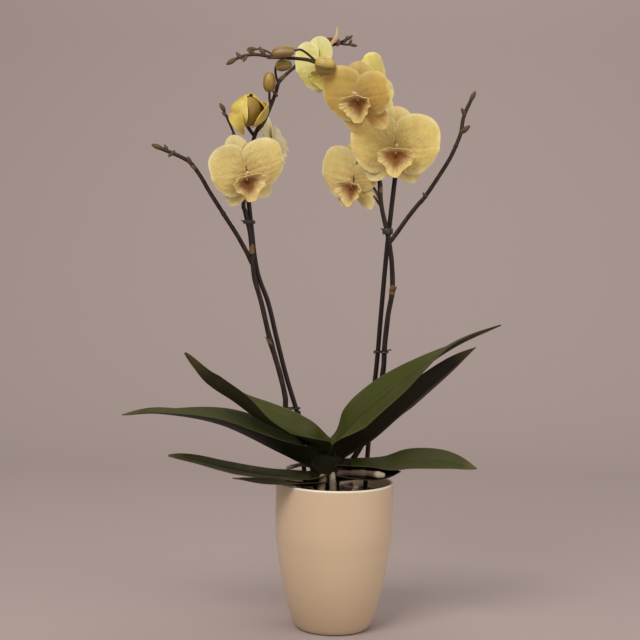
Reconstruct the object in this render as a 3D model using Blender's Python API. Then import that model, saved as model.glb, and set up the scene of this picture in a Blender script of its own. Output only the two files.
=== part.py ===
"""Potted moth orchid in a cream cover pot: inner nursery pot, bark, crown, leaves, air roots, two staked
flower spikes with side branches, seven open flowers, one half-open flower and four buds.

Metres, +Z up. The origin is the middle of the cover pot's underside, and the flowers look along -Y.
"""

import math

import bpy
import numpy as np
from mathutils import Vector

for old_object in list(bpy.data.objects):
    bpy.data.objects.remove(old_object, do_unlink=True)

# --- Driving dimensions -----------------------------------------------------------------------------------
FIT_GAP = 0.0004            # air between pieces that touch
POT_HEIGHT = 0.163
POT_RIM_RADIUS = 0.065
POT_WALL = 0.0035
POT_FLOOR = 0.005
BARK_TOP = 0.147            # mean height of the bark surface
LEAF_THICKNESS = 0.0022
SPIKE_RADIUS = 0.0032
STAKE_RADIUS = 0.0026
PEDICEL_RADIUS = 0.0014
PETAL_THICKNESS = 0.0009


# --- Materials --------------------------------------------------------------------------------------------
def finish(name, colour, roughness):
    """A Principled material of one colour (linear RGB)."""
    material = bpy.data.materials.new(name)
    material.use_nodes = True
    shader = material.node_tree.nodes["Principled BSDF"]
    shader.inputs["Base Color"].default_value = (*colour, 1.0)
    shader.inputs["Roughness"].default_value = roughness
    shader.inputs["Metallic"].default_value = 0.0
    return material


POT_GLAZE = finish("pot_glaze", (0.66, 0.50, 0.36), 0.38)
CLEAR_PLASTIC = finish("nursery_plastic", (0.42, 0.41, 0.38), 0.3)
BARK = finish("bark", (0.075, 0.038, 0.020), 0.9)
CROWN_TISSUE = finish("crown_tissue", (0.030, 0.028, 0.014), 0.5)
LEAF_SKIN = finish("leaf_skin", (0.055, 0.075, 0.022), 0.35)
ROOT_SKIN = finish("root_skin", (0.27, 0.23, 0.17), 0.7)
SPIKE_SKIN = finish("spike_skin", (0.035, 0.018, 0.012), 0.5)
STAKE_PLASTIC = finish("stake_plastic", (0.020, 0.012, 0.010), 0.45)
CLIP_PLASTIC = finish("clip_plastic", (0.016, 0.012, 0.011), 0.4)
PETAL_TISSUE = finish("petal_tissue", (0.66, 0.47, 0.16), 0.55)
SEPAL_TISSUE = finish("sepal_tissue", (0.68, 0.52, 0.22), 0.55)
LIP_TISSUE = finish("lip_tissue", (0.36, 0.15, 0.045), 0.55)
BUD_TISSUE = finish("bud_tissue", (0.36, 0.25, 0.045), 0.5)


# --- Mesh building ----------------------------------------------------------------------------------------
def add_object(name, points, faces, material):
    """A smooth-shaded mesh object with its place in its own points."""
    mesh = bpy.data.meshes.new(name)
    mesh.from_pydata([tuple(point) for point in points], [], faces)
    mesh.materials.append(material)
    mesh.shade_smooth()
    made = bpy.data.objects.new(name, mesh)
    bpy.context.scene.collection.objects.link(made)
    return made


def smooth_route(points, count):
    """A Catmull-Rom curve through the points, sampled at even steps of its parameter."""
    given = np.asarray(points, float)
    ends = np.vstack([2 * given[0] - given[1], given, 2 * given[-1] - given[-2]])
    position = np.linspace(0, len(given) - 1, count)
    start = np.minimum(position.astype(int), len(given) - 2)
    f = (position - start)[:, None]
    a, b, c, d = ends[start], ends[start + 1], ends[start + 2], ends[start + 3]
    return 0.5 * (2 * b + (c - a) * f + (2 * a - 5 * b + 4 * c - d) * f**2 + (3 * b - a - 3 * c + d) * f**3)


def tube_mesh(route, radii, sides=6):
    """Rings square to the route, carried along it without twist, with a point closing each end."""
    route = np.asarray(route, float)
    radii = np.broadcast_to(np.asarray(radii, float), len(route))
    tangents = [Vector(t).normalized() for t in np.gradient(route, axis=0)]
    side = tangents[0].cross(Vector((0.31, 0.9, 0.17))).normalized()
    points = []
    for centre, tangent, radius in zip(route, tangents, radii):
        side = (side - tangent * side.dot(tangent)).normalized()
        other = tangent.cross(side)
        for k in range(sides):
            angle = 2 * math.pi * k / sides
            points.append(Vector(centre) + (math.cos(angle) * side + math.sin(angle) * other) * float(radius))
    faces = []
    for i in range(len(route) - 1):
        for k in range(sides):
            following = (k + 1) % sides
            faces.append((i * sides + k, i * sides + following, (i + 1) * sides + following, (i + 1) * sides + k))
    last = (len(route) - 1) * sides
    faces.append(tuple(reversed(range(sides))))
    faces.append(tuple(last + k for k in range(sides)))
    return points, faces


def tube(name, route, radii, material, sides=6):
    return add_object(name, *tube_mesh(route, radii, sides), material)


def cutter(made):
    """Turns an object into a helper for a Boolean, which no render or build shows."""
    made.hide_render = True
    made.display_type = "WIRE"
    return made


def boolean(target, tool, operation):
    modifier = target.modifiers.new(tool.name, "BOOLEAN")
    modifier.operation = operation
    modifier.object = tool


def sheet_solid(name, grid, thickness, material, around=False):
    """A thin solid on both sides of a grid of points [row, column, xyz], thickness given for each point.

    With around set, the columns run round in a ring and the first row is the innermost ring, which is
    closed by one face on each side."""
    grid = np.asarray(grid, float)
    rows, columns = grid.shape[:2]
    along = np.gradient(grid, axis=0)
    if around:
        across = np.roll(grid, -1, axis=1) - np.roll(grid, 1, axis=1)
    else:
        across = np.gradient(grid, axis=1)
    normal = np.cross(along, across)
    normal /= np.maximum(np.linalg.norm(normal, axis=2, keepdims=True), 1e-12)
    half = 0.5 * np.broadcast_to(thickness, (rows, columns))[..., None]
    points = np.concatenate([(grid + normal * half).reshape(-1, 3), (grid - normal * half).reshape(-1, 3)])
    under = rows * columns
    spans = columns if around else columns - 1
    faces = []
    for i in range(rows - 1):
        for j in range(spans):
            a, b = i * columns + j, i * columns + (j + 1) % columns
            faces.append((a, a + columns, b + columns, b))
            faces.append((under + a, under + b, under + b + columns, under + a + columns))
    if around:
        margin = [(rows - 1) * columns + j for j in range(columns)]
        faces.append(tuple(range(columns)))
        faces.append(tuple(under + j for j in reversed(range(columns))))
    else:
        margin = [i * columns for i in range(rows)] + [(rows - 1) * columns + j for j in range(1, columns)]
        margin += [i * columns + columns - 1 for i in range(rows - 2, -1, -1)] + list(range(columns - 2, 0, -1))
    for a, b in zip(margin, margin[1:] + margin[:1]):
        faces.append((a, under + a, under + b, b))
    return add_object(name, points, faces, material)


def turned(name, profile, steps, material):
    """A body of revolution: the profile (radius, height) runs down its outer side and ends on the axis."""
    points = [(radius, 0.0, height) for radius, height in profile]
    edges = [(i, i + 1) for i in range(len(points) - 1)]
    mesh = bpy.data.meshes.new(name)
    mesh.from_pydata(points, edges, [])
    mesh.materials.append(material)
    made = bpy.data.objects.new(name, mesh)
    bpy.context.scene.collection.objects.link(made)
    screw = made.modifiers.new("turn", "SCREW")
    screw.steps = steps
    screw.render_steps = steps
    screw.use_merge_vertices = True
    screw.merge_threshold = 0.0001
    screw.use_smooth_shade = True
    return made


# --- Cover pot, nursery pot and bark ----------------------------------------------------------------------
POT_OUTLINE = (             # outer side: (radius, height), from the rim down to the foot
    (0.0645, 0.146), (0.0642, 0.110), (0.0622, 0.090), (0.0590, 0.068), (0.0548, 0.046),
    (0.0505, 0.028), (0.0468, 0.016), (0.0428, 0.006), (0.0395, 0.0015), (0.0355, 0.0),
)
POT_STEPS = 32


def cover_pot():
    """Straight-sided above and drawn in to a rounded foot, with a rolled rim and a flat underside."""
    rim_round = 0.5 * POT_WALL
    rim_middle = POT_RIM_RADIUS - rim_round
    rim = [
        (rim_middle + rim_round * math.sin(a), POT_HEIGHT - rim_round + rim_round * math.cos(a))
        for a in np.radians((-60, -20, 20, 60))
    ]
    inside = [(radius - POT_WALL, height) for radius, height in POT_OUTLINE if height > 2 * POT_FLOOR]
    inside.append((0.038, POT_FLOOR))
    profile = [(0.0, POT_FLOOR)] + inside[::-1] + rim + list(POT_OUTLINE) + [(0.0, 0.0)]
    turned("cover_pot", profile, POT_STEPS, POT_GLAZE)


def nursery_pot():
    """Thin clear plastic pot that stands in the cover pot, with a small turned-out rim."""
    wall, floor = 0.0011, POT_FLOOR + FIT_GAP
    outer = [(0.0575, 0.1500), (0.0575, 0.1478), (0.0562, 0.1474), (0.0365, floor + 0.002), (0.0345, floor)]
    inner = [(0.0350, floor + wall + 0.001), (0.0550, 0.1474), (0.0560, 0.1500)]
    turned("nursery_pot", [(0.0, floor + wall)] + inner + outer + [(0.0, floor)], 28, CLEAR_PLASTIC)


def bark_fill():
    """Packed bark: a tapered plug with a lumpy top."""
    floor, angles, rings = POT_FLOOR + FIT_GAP + 0.0026, 28, 4
    foot_radius, top_radius = 0.0338, 0.0540
    theta = np.arange(angles) * 2 * math.pi / angles
    points = []
    for ring in range(1, rings + 1):
        radius = top_radius * ring / rings
        lumps = 0.0016 * np.sin(5 * theta + 1.7 * ring) + 0.0014 * np.cos(3 * theta - 2.1 * ring)
        points += [(radius * math.cos(t), radius * math.sin(t), BARK_TOP + h) for t, h in zip(theta, lumps)]
    points += [(foot_radius * math.cos(t), foot_radius * math.sin(t), floor) for t in theta]
    points += [(0.0, 0.0, BARK_TOP), (0.0, 0.0, floor)]
    top_pole, foot_pole = len(points) - 2, len(points) - 1
    faces = []
    for j in range(angles):
        k = (j + 1) % angles
        faces.append((top_pole, j, k))
        for ring in range(rings):
            a, b = ring * angles, (ring + 1) * angles
            faces.append((a + j, b + j, b + k, a + k))
        faces.append((foot_pole, rings * angles + k, rings * angles + j))
    return add_object("potting_bark", points, faces, BARK)


# --- Crown and leaves -------------------------------------------------------------------------------------
CROWN_ROUTE = ((-0.004, 0.000, 0.132), (-0.004, -0.001, 0.150), (-0.005, -0.002, 0.168),
               (-0.006, -0.002, 0.184), (-0.006, -0.003, 0.193))
CROWN_RADII = (0.0075, 0.0085, 0.0090, 0.0085, 0.0060)

# Each leaf: the points its keel follows, its half width, and the roll and the fold of the blade in degrees
# from base to tip. Roll lifts the edge that is further back; fold lifts both edges into a channel.
LEAVES = {
    "leaf_left_upper": dict(
        keel=((-0.0150, -0.006, 0.1975), (-0.034, -0.015, 0.211), (-0.080, -0.022, 0.232),
              (-0.110, -0.028, 0.253), (-0.141, -0.032, 0.274), (-0.163, -0.036, 0.304)),
        half_width=0.025, roll=(26, 36, 2, -24, -22), fold=(52, 37, 30, 28, 14)),
    "leaf_left_middle": dict(
        keel=((-0.0175, -0.003, 0.1830), (-0.034, -0.009, 0.184), (-0.060, -0.012, 0.196),
              (-0.125, -0.011, 0.225), (-0.190, -0.008, 0.235), (-0.234, -0.006, 0.232)),
        half_width=0.026, roll=(-3, 0, 12, 2, 12), fold=(45, 33, 32, 10, 12)),
    "leaf_left_lower": dict(
        keel=((-0.0165, -0.004, 0.1725), (-0.060, -0.013, 0.1690), (-0.115, -0.020, 0.1750),
              (-0.150, -0.026, 0.186), (-0.180, -0.030, 0.192)),
        half_width=0.021, roll=(0, 4, 12, 14, 8), fold=(28, 16, 8, 8, 12)),
    "leaf_left_lowest": dict(
        keel=((-0.0150, -0.0125, 0.1665), (-0.040, -0.034, 0.1660), (-0.066, -0.048, 0.1685),
              (-0.092, -0.054, 0.1715), (-0.109, -0.056, 0.1735)),
        half_width=0.012, roll=(0, 0, 4, 4), fold=(22, 10, 8, 8)),
    "leaf_right_upper": dict(
        keel=((0.0035, -0.006, 0.2015), (0.017, -0.017, 0.227), (0.046, -0.026, 0.257),
              (0.086, -0.032, 0.289), (0.126, -0.036, 0.317), (0.173, -0.040, 0.340)),
        half_width=0.025, roll=(44, 50, 28, 2, 4), fold=(34, 12, 8, 10, 24)),
    "leaf_right_middle": dict(
        keel=((0.0085, -0.004, 0.1905), (0.040, -0.016, 0.216), (0.077, -0.022, 0.253),
              (0.120, -0.026, 0.289), (0.148, -0.028, 0.315)),
        half_width=0.025, roll=(-5, -15, -20, -25, -28), fold=(42, 28, 18, 16, 15)),
    "leaf_right_lower": dict(
        keel=((0.0090, -0.003, 0.1755), (0.030, -0.009, 0.1770), (0.056, -0.009, 0.1790),
              (0.082, -0.010, 0.187), (0.121, -0.012, 0.188), (0.154, -0.014, 0.181)),
        half_width=0.025, roll=(0, 6, 16, 22, 23), fold=(30, 22, 10, 9, 9)),
    "leaf_right_lowest": dict(
        keel=((0.0090, -0.006, 0.1660), (0.034, -0.007, 0.1680), (0.056, -0.008, 0.1720), (0.071, -0.009, 0.1760)),
        half_width=0.014, roll=(-6, -12, -14, -12), fold=(24, 12, 8, 6)),
}
LEAF_ROWS, LEAF_COLUMNS = 12, 5


def leaf_half_width(t, half_width):
    """From two fifths of the full width at the base to the widest at 0.55 of the length, then a blunt tip."""
    rise = 0.4 + 0.6 * np.sin(np.clip(t / 0.55, 0, 1) * math.pi / 2)
    beyond = np.clip((t - 0.55) / 0.45, 0, 1)
    return np.maximum(half_width * rise * (1 - beyond**2) ** 0.75, 0.0012)


def leaf_grid(keel, half_width, roll, fold, rows, columns):
    """Points [row, column, xyz] of a channelled blade whose cross-section rolls and folds along the keel."""
    t = np.linspace(0, 1, rows) ** 0.92
    line = smooth_route(keel, 200)
    line = np.stack([np.interp(t, np.linspace(0, 1, 200), line[:, k]) for k in range(3)], axis=1)
    tangent = np.gradient(line, axis=0)
    tangent /= np.linalg.norm(tangent, axis=1, keepdims=True)
    back = np.cross((0.0, 0.0, 1.0), tangent)
    back /= np.linalg.norm(back, axis=1, keepdims=True)
    back *= np.sign(back[:, 1:2])
    up = np.cross(tangent, back)
    up *= np.sign(up[:, 2:3])
    turn = np.radians(np.interp(t, np.linspace(0, 1, len(roll)), roll))[:, None]
    lift = np.radians(np.interp(t, np.linspace(0, 1, len(fold)), fold))[:, None, None]
    side = back * np.cos(turn) + up * np.sin(turn)
    over = up * np.cos(turn) - back * np.sin(turn)
    v = np.linspace(-1, 1, columns)[None, :, None]
    width = leaf_half_width(t, half_width)[:, None, None]
    sideways = side[:, None, :] * v * np.cos(lift)
    upwards = over[:, None, :] * np.abs(v) ** 1.25 * np.sin(lift)
    return line[:, None, :] + width * (sideways + upwards)


def leaf(name, keel, half_width, roll, fold):
    grid = leaf_grid(keel, half_width, roll, fold, LEAF_ROWS, LEAF_COLUMNS)
    v = np.linspace(-1, 1, LEAF_COLUMNS)[None, :]
    return sheet_solid(name, grid, LEAF_THICKNESS * (1 - 0.7 * v**2), LEAF_SKIN)


# --- Roots ------------------------------------------------------------------------------------------------
ROOTS = {
    "root_front_left": (0.0042, ((-0.0145, -0.0140, 0.1640), (-0.0150, -0.0175, 0.157), (-0.0145, -0.0195, 0.148),
                                 (-0.0130, -0.0205, 0.136), (-0.0110, -0.0200, 0.124))),
    "root_front_middle": (0.0034, ((-0.0025, -0.0150, 0.1660), (-0.0020, -0.0185, 0.157), (-0.0030, -0.0195, 0.147),
                                   (-0.0040, -0.0190, 0.134), (-0.0020, -0.0180, 0.124))),
    "root_front_right": (0.0032, ((0.0230, -0.0150, 0.1580), (0.0220, -0.0120, 0.154), (0.0200, -0.0080, 0.146),
                                  (0.0185, -0.0030, 0.134), (0.0180, -0.0020, 0.124))),
    "root_over_rim": (0.0034, ((0.0060, -0.0140, 0.1735), (0.0150, -0.0210, 0.1750), (0.0280, -0.0270, 0.1765),
                               (0.0400, -0.0290, 0.1760), (0.0510, -0.0290, 0.1750))),
    "root_behind_leaf": (0.0022, ((-0.0160, 0.0080, 0.1700), (-0.0250, 0.0100, 0.1760), (-0.0360, 0.0105, 0.1780),
                                  (-0.0450, 0.0105, 0.1760), (-0.0520, 0.0100, 0.1740))),
}


def root(name, radius, route):
    """A fleshy root that narrows to a blunt tip at one end."""
    line = smooth_route(route, 11)
    radii = radius * np.interp(np.linspace(0, 1, 11), (0, 0.1, 0.85, 1), (0.62, 0.98, 1.0, 0.72))
    return tube(name, line, radii, ROOT_SKIN, 8)


# --- Stakes and clips -------------------------------------------------------------------------------------
STAKES = {
    "stake_left": ((-0.0215, 0.0165, 0.0600), (-0.0400, 0.0165, 0.2220), (-0.0429, 0.0165, 0.2351),
                   (-0.0559, 0.0165, 0.2760), (-0.0669, 0.0165, 0.3170), (-0.0767, 0.0165, 0.3554),
                   (-0.0877, 0.0165, 0.3841), (-0.0928, 0.0165, 0.4079), (-0.0958, 0.0165, 0.4319),
                   (-0.0988, 0.0165, 0.4557), (-0.1016, 0.0165, 0.4795)),
    "stake_right": ((0.0300, 0.0175, 0.060), (0.0375, 0.0175, 0.215), (0.0440, 0.0175, 0.289),
                    (0.0480, 0.0175, 0.351), (0.0530, 0.0175, 0.422), (0.0605, 0.0175, 0.503)),
}

# --- Flower spikes ----------------------------------------------------------------------------------------
LEFT_SPIKE = ((-0.0135, 0.0080, 0.1880), (-0.0270, 0.0090, 0.1990), (-0.0440, 0.0090, 0.2170),
              (-0.0548, 0.0090, 0.2382), (-0.0563, 0.0090, 0.2527), (-0.0620, 0.0090, 0.2767),
              (-0.0744, 0.0090, 0.3174), (-0.0840, 0.0090, 0.3557), (-0.0923, 0.0090, 0.3842),
              (-0.0951, 0.0090, 0.4081), (-0.0977, 0.0090, 0.4319), (-0.1035, 0.0090, 0.4556),
              (-0.1053, 0.0090, 0.4650), (-0.1015, 0.0090, 0.5000), (-0.0940, 0.0080, 0.5390),
              (-0.0850, 0.0080, 0.5530), (-0.0770, 0.0090, 0.5720), (-0.0720, 0.0100, 0.5860),
              (-0.0690, 0.0120, 0.5970), (-0.0630, 0.0220, 0.6050), (-0.0530, 0.0320, 0.6155),
              (-0.0400, 0.0350, 0.6270), (-0.0210, 0.0330, 0.6370), (-0.0030, 0.0300, 0.6430),
              (0.0070, 0.0280, 0.6480))
RIGHT_SPIKE = ((0.0070, 0.0120, 0.1740), (0.0190, 0.0130, 0.184), (0.0340, 0.0110, 0.212), (0.0450, 0.0090, 0.250),
               (0.0510, 0.0090, 0.285), (0.0520, 0.0090, 0.312), (0.0550, 0.0090, 0.345), (0.0590, 0.0090, 0.372),
               (0.0580, 0.0090, 0.400), (0.0550, 0.0090, 0.422), (0.0505, 0.0090, 0.442), (0.0450, 0.0090, 0.466),
               (0.0425, 0.0090, 0.495), (0.0430, 0.0080, 0.528), (0.0330, 0.0050, 0.562), (0.0160, 0.0010, 0.589),
               (-0.0030, -0.0020, 0.607), (-0.0190, -0.0040, 0.615), (-0.0380, -0.0040, 0.6195),
               (-0.0560, -0.0040, 0.621), (-0.0760, -0.0040, 0.622), (-0.0940, -0.0040, 0.624),
               (-0.1080, -0.0040, 0.622), (-0.1180, -0.0040, 0.6175))
LEFT_TWIGS = {              # side branches and bud stalks that grow out of the left spike
    "left_side_branch": (0.0022, ((-0.0962, 0.0090, 0.4009), (-0.1019, 0.0090, 0.4128), (-0.1123, 0.0090, 0.4307),
                                  (-0.1220, 0.0090, 0.4452), (-0.1321, 0.0090, 0.4605), (-0.1432, 0.0090, 0.4775),
                                  (-0.1532, 0.0090, 0.4941), (-0.1643, 0.0090, 0.5080), (-0.1742, 0.0090, 0.5138),
                                  (-0.1840, 0.0090, 0.5179), (-0.1988, 0.0090, 0.5236))),
    "thin_side_branch": (0.0012, ((-0.1025, 0.0090, 0.506), (-0.1100, 0.0070, 0.524), (-0.1180, 0.0040, 0.543),
                                  (-0.1240, 0.0020, 0.556), (-0.1285, 0.0010, 0.5660))),
    "half_open_stalk": (0.0014, ((-0.0930, 0.0080, 0.539), (-0.0985, 0.0040, 0.5430), (-0.1020, 0.0000, 0.5475))),
    "upright_bud_stalk": (0.0012, ((-0.0770, 0.0085, 0.571), (-0.0785, 0.0050, 0.577), (-0.0787, 0.0010, 0.5828))),
    "hanging_bud_stalk": (0.0012, ((-0.0692, 0.0115, 0.596), (-0.0725, 0.0080, 0.605), (-0.0725, 0.0030, 0.6115))),
    "left_tip_fork": (0.0011, ((-0.0060, 0.0305, 0.6425), (0.0060, 0.0290, 0.6410), (0.0150, 0.0280, 0.6410))),
}
RIGHT_TWIGS = {
    "right_side_branch": (0.0022, ((0.0534, 0.0110, 0.4233), (0.0592, 0.0110, 0.4306), (0.0752, 0.0110, 0.4538),
                                   (0.0848, 0.0110, 0.4663), (0.0927, 0.0110, 0.4757), (0.1080, 0.0110, 0.4994),
                                   (0.1189, 0.0110, 0.5179), (0.1262, 0.0110, 0.5346), (0.1302, 0.0110, 0.5466),
                                   (0.1330, 0.0110, 0.5639), (0.1412, 0.0110, 0.5835))),
    "spur": (0.0014, ((0.0455, 0.0090, 0.464), (0.0420, 0.0070, 0.468), (0.0395, 0.0050, 0.4715))),
    "long_bud_stalk": (0.0011, ((-0.0290, -0.0040, 0.618), (-0.0370, -0.0080, 0.6245), (-0.0450, -0.0120, 0.6290),
                                (-0.0505, -0.0140, 0.6282))),
    "striped_bud_stalk": (0.0014, ((-0.0380, -0.0040, 0.6195), (-0.0380, -0.0180, 0.6180),
                                   (-0.0310, -0.0300, 0.6137))),
    "upper_tip_fork": (0.0010, ((-0.0700, -0.0040, 0.6215), (-0.0850, -0.0040, 0.6290), (-0.0960, -0.0040, 0.6300))),
}


def joined_spike(name, route, twigs, stalks):
    """The main stem, thinning upwards with a swelling at each joint, with its twigs and flower stalks grown on."""
    line = smooth_route(route, 2 * len(route) + 4)
    t = np.linspace(0, 1, len(line))
    radii = SPIKE_RADIUS * (1.0 - 0.5 * t)
    stem = tube(name, line, radii, SPIKE_SKIN, 7)
    grown = {**twigs, **stalks}
    for twig_name, (radius, points) in grown.items():
        count = 2 * len(points) + 1
        twig = tube(twig_name, smooth_route(points, count), np.linspace(1.1, 0.85, count) * radius, SPIKE_SKIN, 5)
        boolean(stem, cutter(twig), "UNION")
    return stem


# --- Flowers ----------------------------------------------------------------------------------------------
# Each open flower: its middle, the length of a petal, and the way it looks: degrees turned to the right of -Y,
# degrees raised, and degrees leaned over clockwise. bend opens (-) or closes (+) the left and right petal,
# narrow is the share of the usual width that each has, and length the share of the usual length.
FLOWERS = {
    "flower_right_front": dict(middle=(0.0575, -0.006, 0.5250), petal=0.0480, turned=0, raised=-7, leaned=2),
    "flower_right_lower": dict(middle=(0.0166, 0.027, 0.4937), petal=0.0432, turned=-40, raised=-8, leaned=6,
                               bend=(0, -4), narrow=(1.0, 0.7), length=(1.0, 0.76)),
    "flower_right_upper": dict(middle=(0.0205, -0.039, 0.5762), petal=0.0465, turned=-38, raised=-16, leaned=0,
                               narrow=(0.93, 0.85), length=(1, 0.86)),
    "flower_right_back": dict(middle=(0.0337, 0.040, 0.5906), petal=0.0426, turned=55, raised=5, leaned=80),
    "flower_top": dict(middle=(-0.0215, 0.018, 0.6143), petal=0.0340, turned=-40, raised=-10, leaned=-12,
                       bend=(12, 0), narrow=(1.35, 0.9), length=(0.85, 0.5)),
    "flower_left_front": dict(middle=(-0.1010, -0.025, 0.4970), petal=0.0445, turned=28, raised=-7, leaned=-23,
                              narrow=(0.97, 0.90), length=(0.96, 0.98)),
    "flower_left_back": dict(middle=(-0.0781, 0.022, 0.5290), petal=0.0373, turned=70, raised=10, leaned=20,
                             narrow=(0.45, 0.9), length=(0.75, 1)),
}
FLOWER_STALKS = {           # where each stalk leaves its spike, and a point on its way
    "flower_right_front": ((0.0425, 0.009, 0.499), (0.0520, 0.005, 0.5190)),
    "flower_right_lower": ((0.0445, 0.009, 0.470), (0.0340, 0.017, 0.4880)),
    "flower_right_upper": ((0.0330, 0.005, 0.562), (0.0320, -0.010, 0.5740)),
    "flower_right_back": ((0.0260, 0.003, 0.574), (0.0105, 0.0235, 0.5805)),
    "flower_top": ((-0.0030, -0.002, 0.607), (-0.0040, 0.012, 0.6130)),
    "flower_left_front": ((-0.1020, 0.009, 0.490), (-0.1060, -0.001, 0.4950)),
    "flower_left_back": ((-0.0985, 0.009, 0.516), (-0.0940, 0.017, 0.5250)),
}
LEFT_FLOWERS = ("flower_left_front", "flower_left_back")


def flower_axes(turned, raised, leaned):
    """(right, up, out) unit vectors of a flower, as seen by someone it looks at."""
    a, p, r = np.radians((turned, raised, leaned))
    out = np.array((math.sin(a) * math.cos(p), -math.cos(a) * math.cos(p), math.sin(p)))
    level = np.array((math.cos(a), math.sin(a), 0.0))
    upright = np.cross(out, level)
    right = level * math.cos(r) - upright * math.sin(r)
    up = upright * math.cos(r) + level * math.sin(r)
    return right, up, out


def placed(local, middle, axes):
    """Points given as (right, up, out) from the flower's middle, in the part's own frame."""
    return np.asarray(middle) + np.asarray(local) @ np.array(axes)


def flower_stalk(flower, start, way):
    right, up, out = flower_axes(flower["turned"], flower["raised"], flower["leaned"])
    middle = np.array(flower["middle"])
    return PEDICEL_RADIUS, (start, way, tuple(middle - 0.010 * out), tuple(middle - 0.0014 * out))


def petal_points(size, side, bend, narrow, rows, columns):
    """A broad blade that widens at once from its claw; it domes forward and its margin falls back.

    side is 1 for the petal on the viewer's right and -1 for the left."""
    t = (1 - np.cos(np.linspace(0.30, math.pi, rows))) / 2
    t = t[:, None]
    v = np.linspace(-1, 1, columns)[None, :]
    spread = np.where(v > 0, np.maximum(np.sin(math.pi * t**0.72), 0.0) ** 0.36,
                      np.maximum(np.sin(math.pi * t**0.86), 0.0) ** 0.55)
    half = size * narrow * np.where(v > 0, 0.74, 0.58) * spread
    along = size * (0.02 + 0.98 * t) * np.ones_like(v)
    height = half * v + 0.13 * size * t
    forward = 0.0022 + size * ((0.17 + math.tan(math.radians(bend))) * t - 0.05 * t**2) - 0.09 * size * v**2 * spread
    return np.stack([side * along, height, forward], axis=2)


def sepal_radius(theta, size):
    """The outline of the three sepals: three ellipses that all pass through the flower's middle."""
    lobes = ((90, 0.97, 0.36), (-52, 0.88, 0.28), (-128, 0.88, 0.28))
    reach = np.full_like(theta, 0.13 * size)
    for direction, length, half_width in lobes:
        away = theta - math.radians(direction)
        c, s = np.cos(away), np.sin(away)
        b, a = half_width**2, (0.5 * length) ** 2
        reach = np.maximum(reach, size * length * b * np.maximum(c, 0) / (b * c**2 + a * s**2))
    return reach


def open_flower(name, middle, petal, turned, raised, leaned, bend=(0, 0), narrow=(1, 1), length=(1, 1)):
    """Sepals behind, two petals in front of them, then the lip with the column on it: four solids."""
    axes = flower_axes(turned, raised, leaned)
    theta = np.radians(np.arange(0, 360, 12.0))
    share = np.array((0.2, 1.0))[:, None]
    reach = sepal_radius(theta, petal)[None, :] * share
    sepals = np.stack([reach * np.cos(theta), reach * np.sin(theta), -0.10 * petal * (reach / petal) ** 1.5], axis=2)
    sheet_solid(f"{name}_sepals", placed(sepals, middle, axes), PETAL_THICKNESS, SEPAL_TISSUE, around=True)

    for i, (side, word) in enumerate(((-1, "left"), (1, "right"))):
        blade = petal_points(petal * length[i], side, bend[i], narrow[i], 8, 5)
        sheet_solid(f"{name}_petal_{word}", placed(blade, middle, axes), PETAL_THICKNESS, PETAL_TISSUE)

    phi = np.radians(np.arange(0, 360, 22.5))
    ring = np.array((0.22, 0.6, 1.0))[:, None]
    wide = 0.42 * petal * np.abs(np.cos(phi)) ** 0.7 * np.sign(np.cos(phi))
    tongue = 0.22 * np.exp(-((np.cos(phi) / 0.35) ** 2))
    tall = np.where(np.sin(phi) < 0, 0.27 + tongue, 0.16) * petal * np.sin(phi)
    bowl = 0.14 * petal + ring**2 * 0.16 * petal * np.ones_like(phi)
    lip = np.stack([ring * wide, ring * tall - 0.20 * petal, bowl], axis=2)
    lip_solid = sheet_solid(f"{name}_lip", placed(lip, middle, axes), 0.0013, LIP_TISSUE, around=True)
    column_line = placed(np.array(((0, -0.15, 0.13), (0, -0.04, 0.18), (0, 0.03, 0.28))) * petal, middle, axes)
    column = tube(f"{name}_column", column_line, np.array((0.055, 0.065, 0.05)) * petal, LIP_TISSUE, 6)
    boolean(lip_solid, cutter(column), "UNION")


# --- Buds and the half-open flower ------------------------------------------------------------------------
BUDS = {                    # base, tip, greatest radius
    "bud_upright": ((-0.0787, 0.0000, 0.5840), (-0.0790, -0.0030, 0.6070), 0.0066),
    "bud_hanging": ((-0.0722, 0.0010, 0.6125), (-0.0550, -0.0070, 0.6145), 0.0062),
    "bud_on_arch": ((-0.0518, -0.0142, 0.6280), (-0.0765, -0.0150, 0.6245), 0.0068),
    "bud_striped": ((-0.0295, -0.0310, 0.6130), (-0.0080, -0.0350, 0.6085), 0.0092),
}
HALF_OPEN = ((-0.1026, -0.0006, 0.5482), (-0.0965, -0.0140, 0.5840), 0.0200)


def pod(name, base, tip, radius, material, rings=7, sides=8):
    """A closed pod with its greatest girth a little above its base."""
    t = np.linspace(0, 1, rings)
    girth = np.sin(math.pi * (0.06 + 0.90 * t**0.85)) ** 0.8
    line = np.array(base) + t[:, None] * (np.array(tip) - np.array(base))
    return tube(name, line, radius * girth, material, sides)


def half_open_flower(name, base, tip, radius):
    """A cup of overlapping petals, closed but for a mouth at one side."""
    cup = pod(name, base, tip, radius, BUD_TISSUE, rings=9, sides=14)
    axis = Vector(tip) - Vector(base)
    mouth_from = Vector(base) + 0.60 * axis + Vector((0.004, -0.002, 0.0))
    mouth_to = Vector(base) + 1.0 * axis + Vector((0.020, -0.020, 0.004))
    line = [mouth_from.lerp(mouth_to, k / 4) for k in range(5)]
    mouth = tube(f"{name}_mouth", line, np.array((0.3, 0.8, 1.0, 1.15, 1.3)) * 0.0075, BUD_TISSUE, 8)
    boolean(cup, cutter(mouth), "DIFFERENCE")


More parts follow.
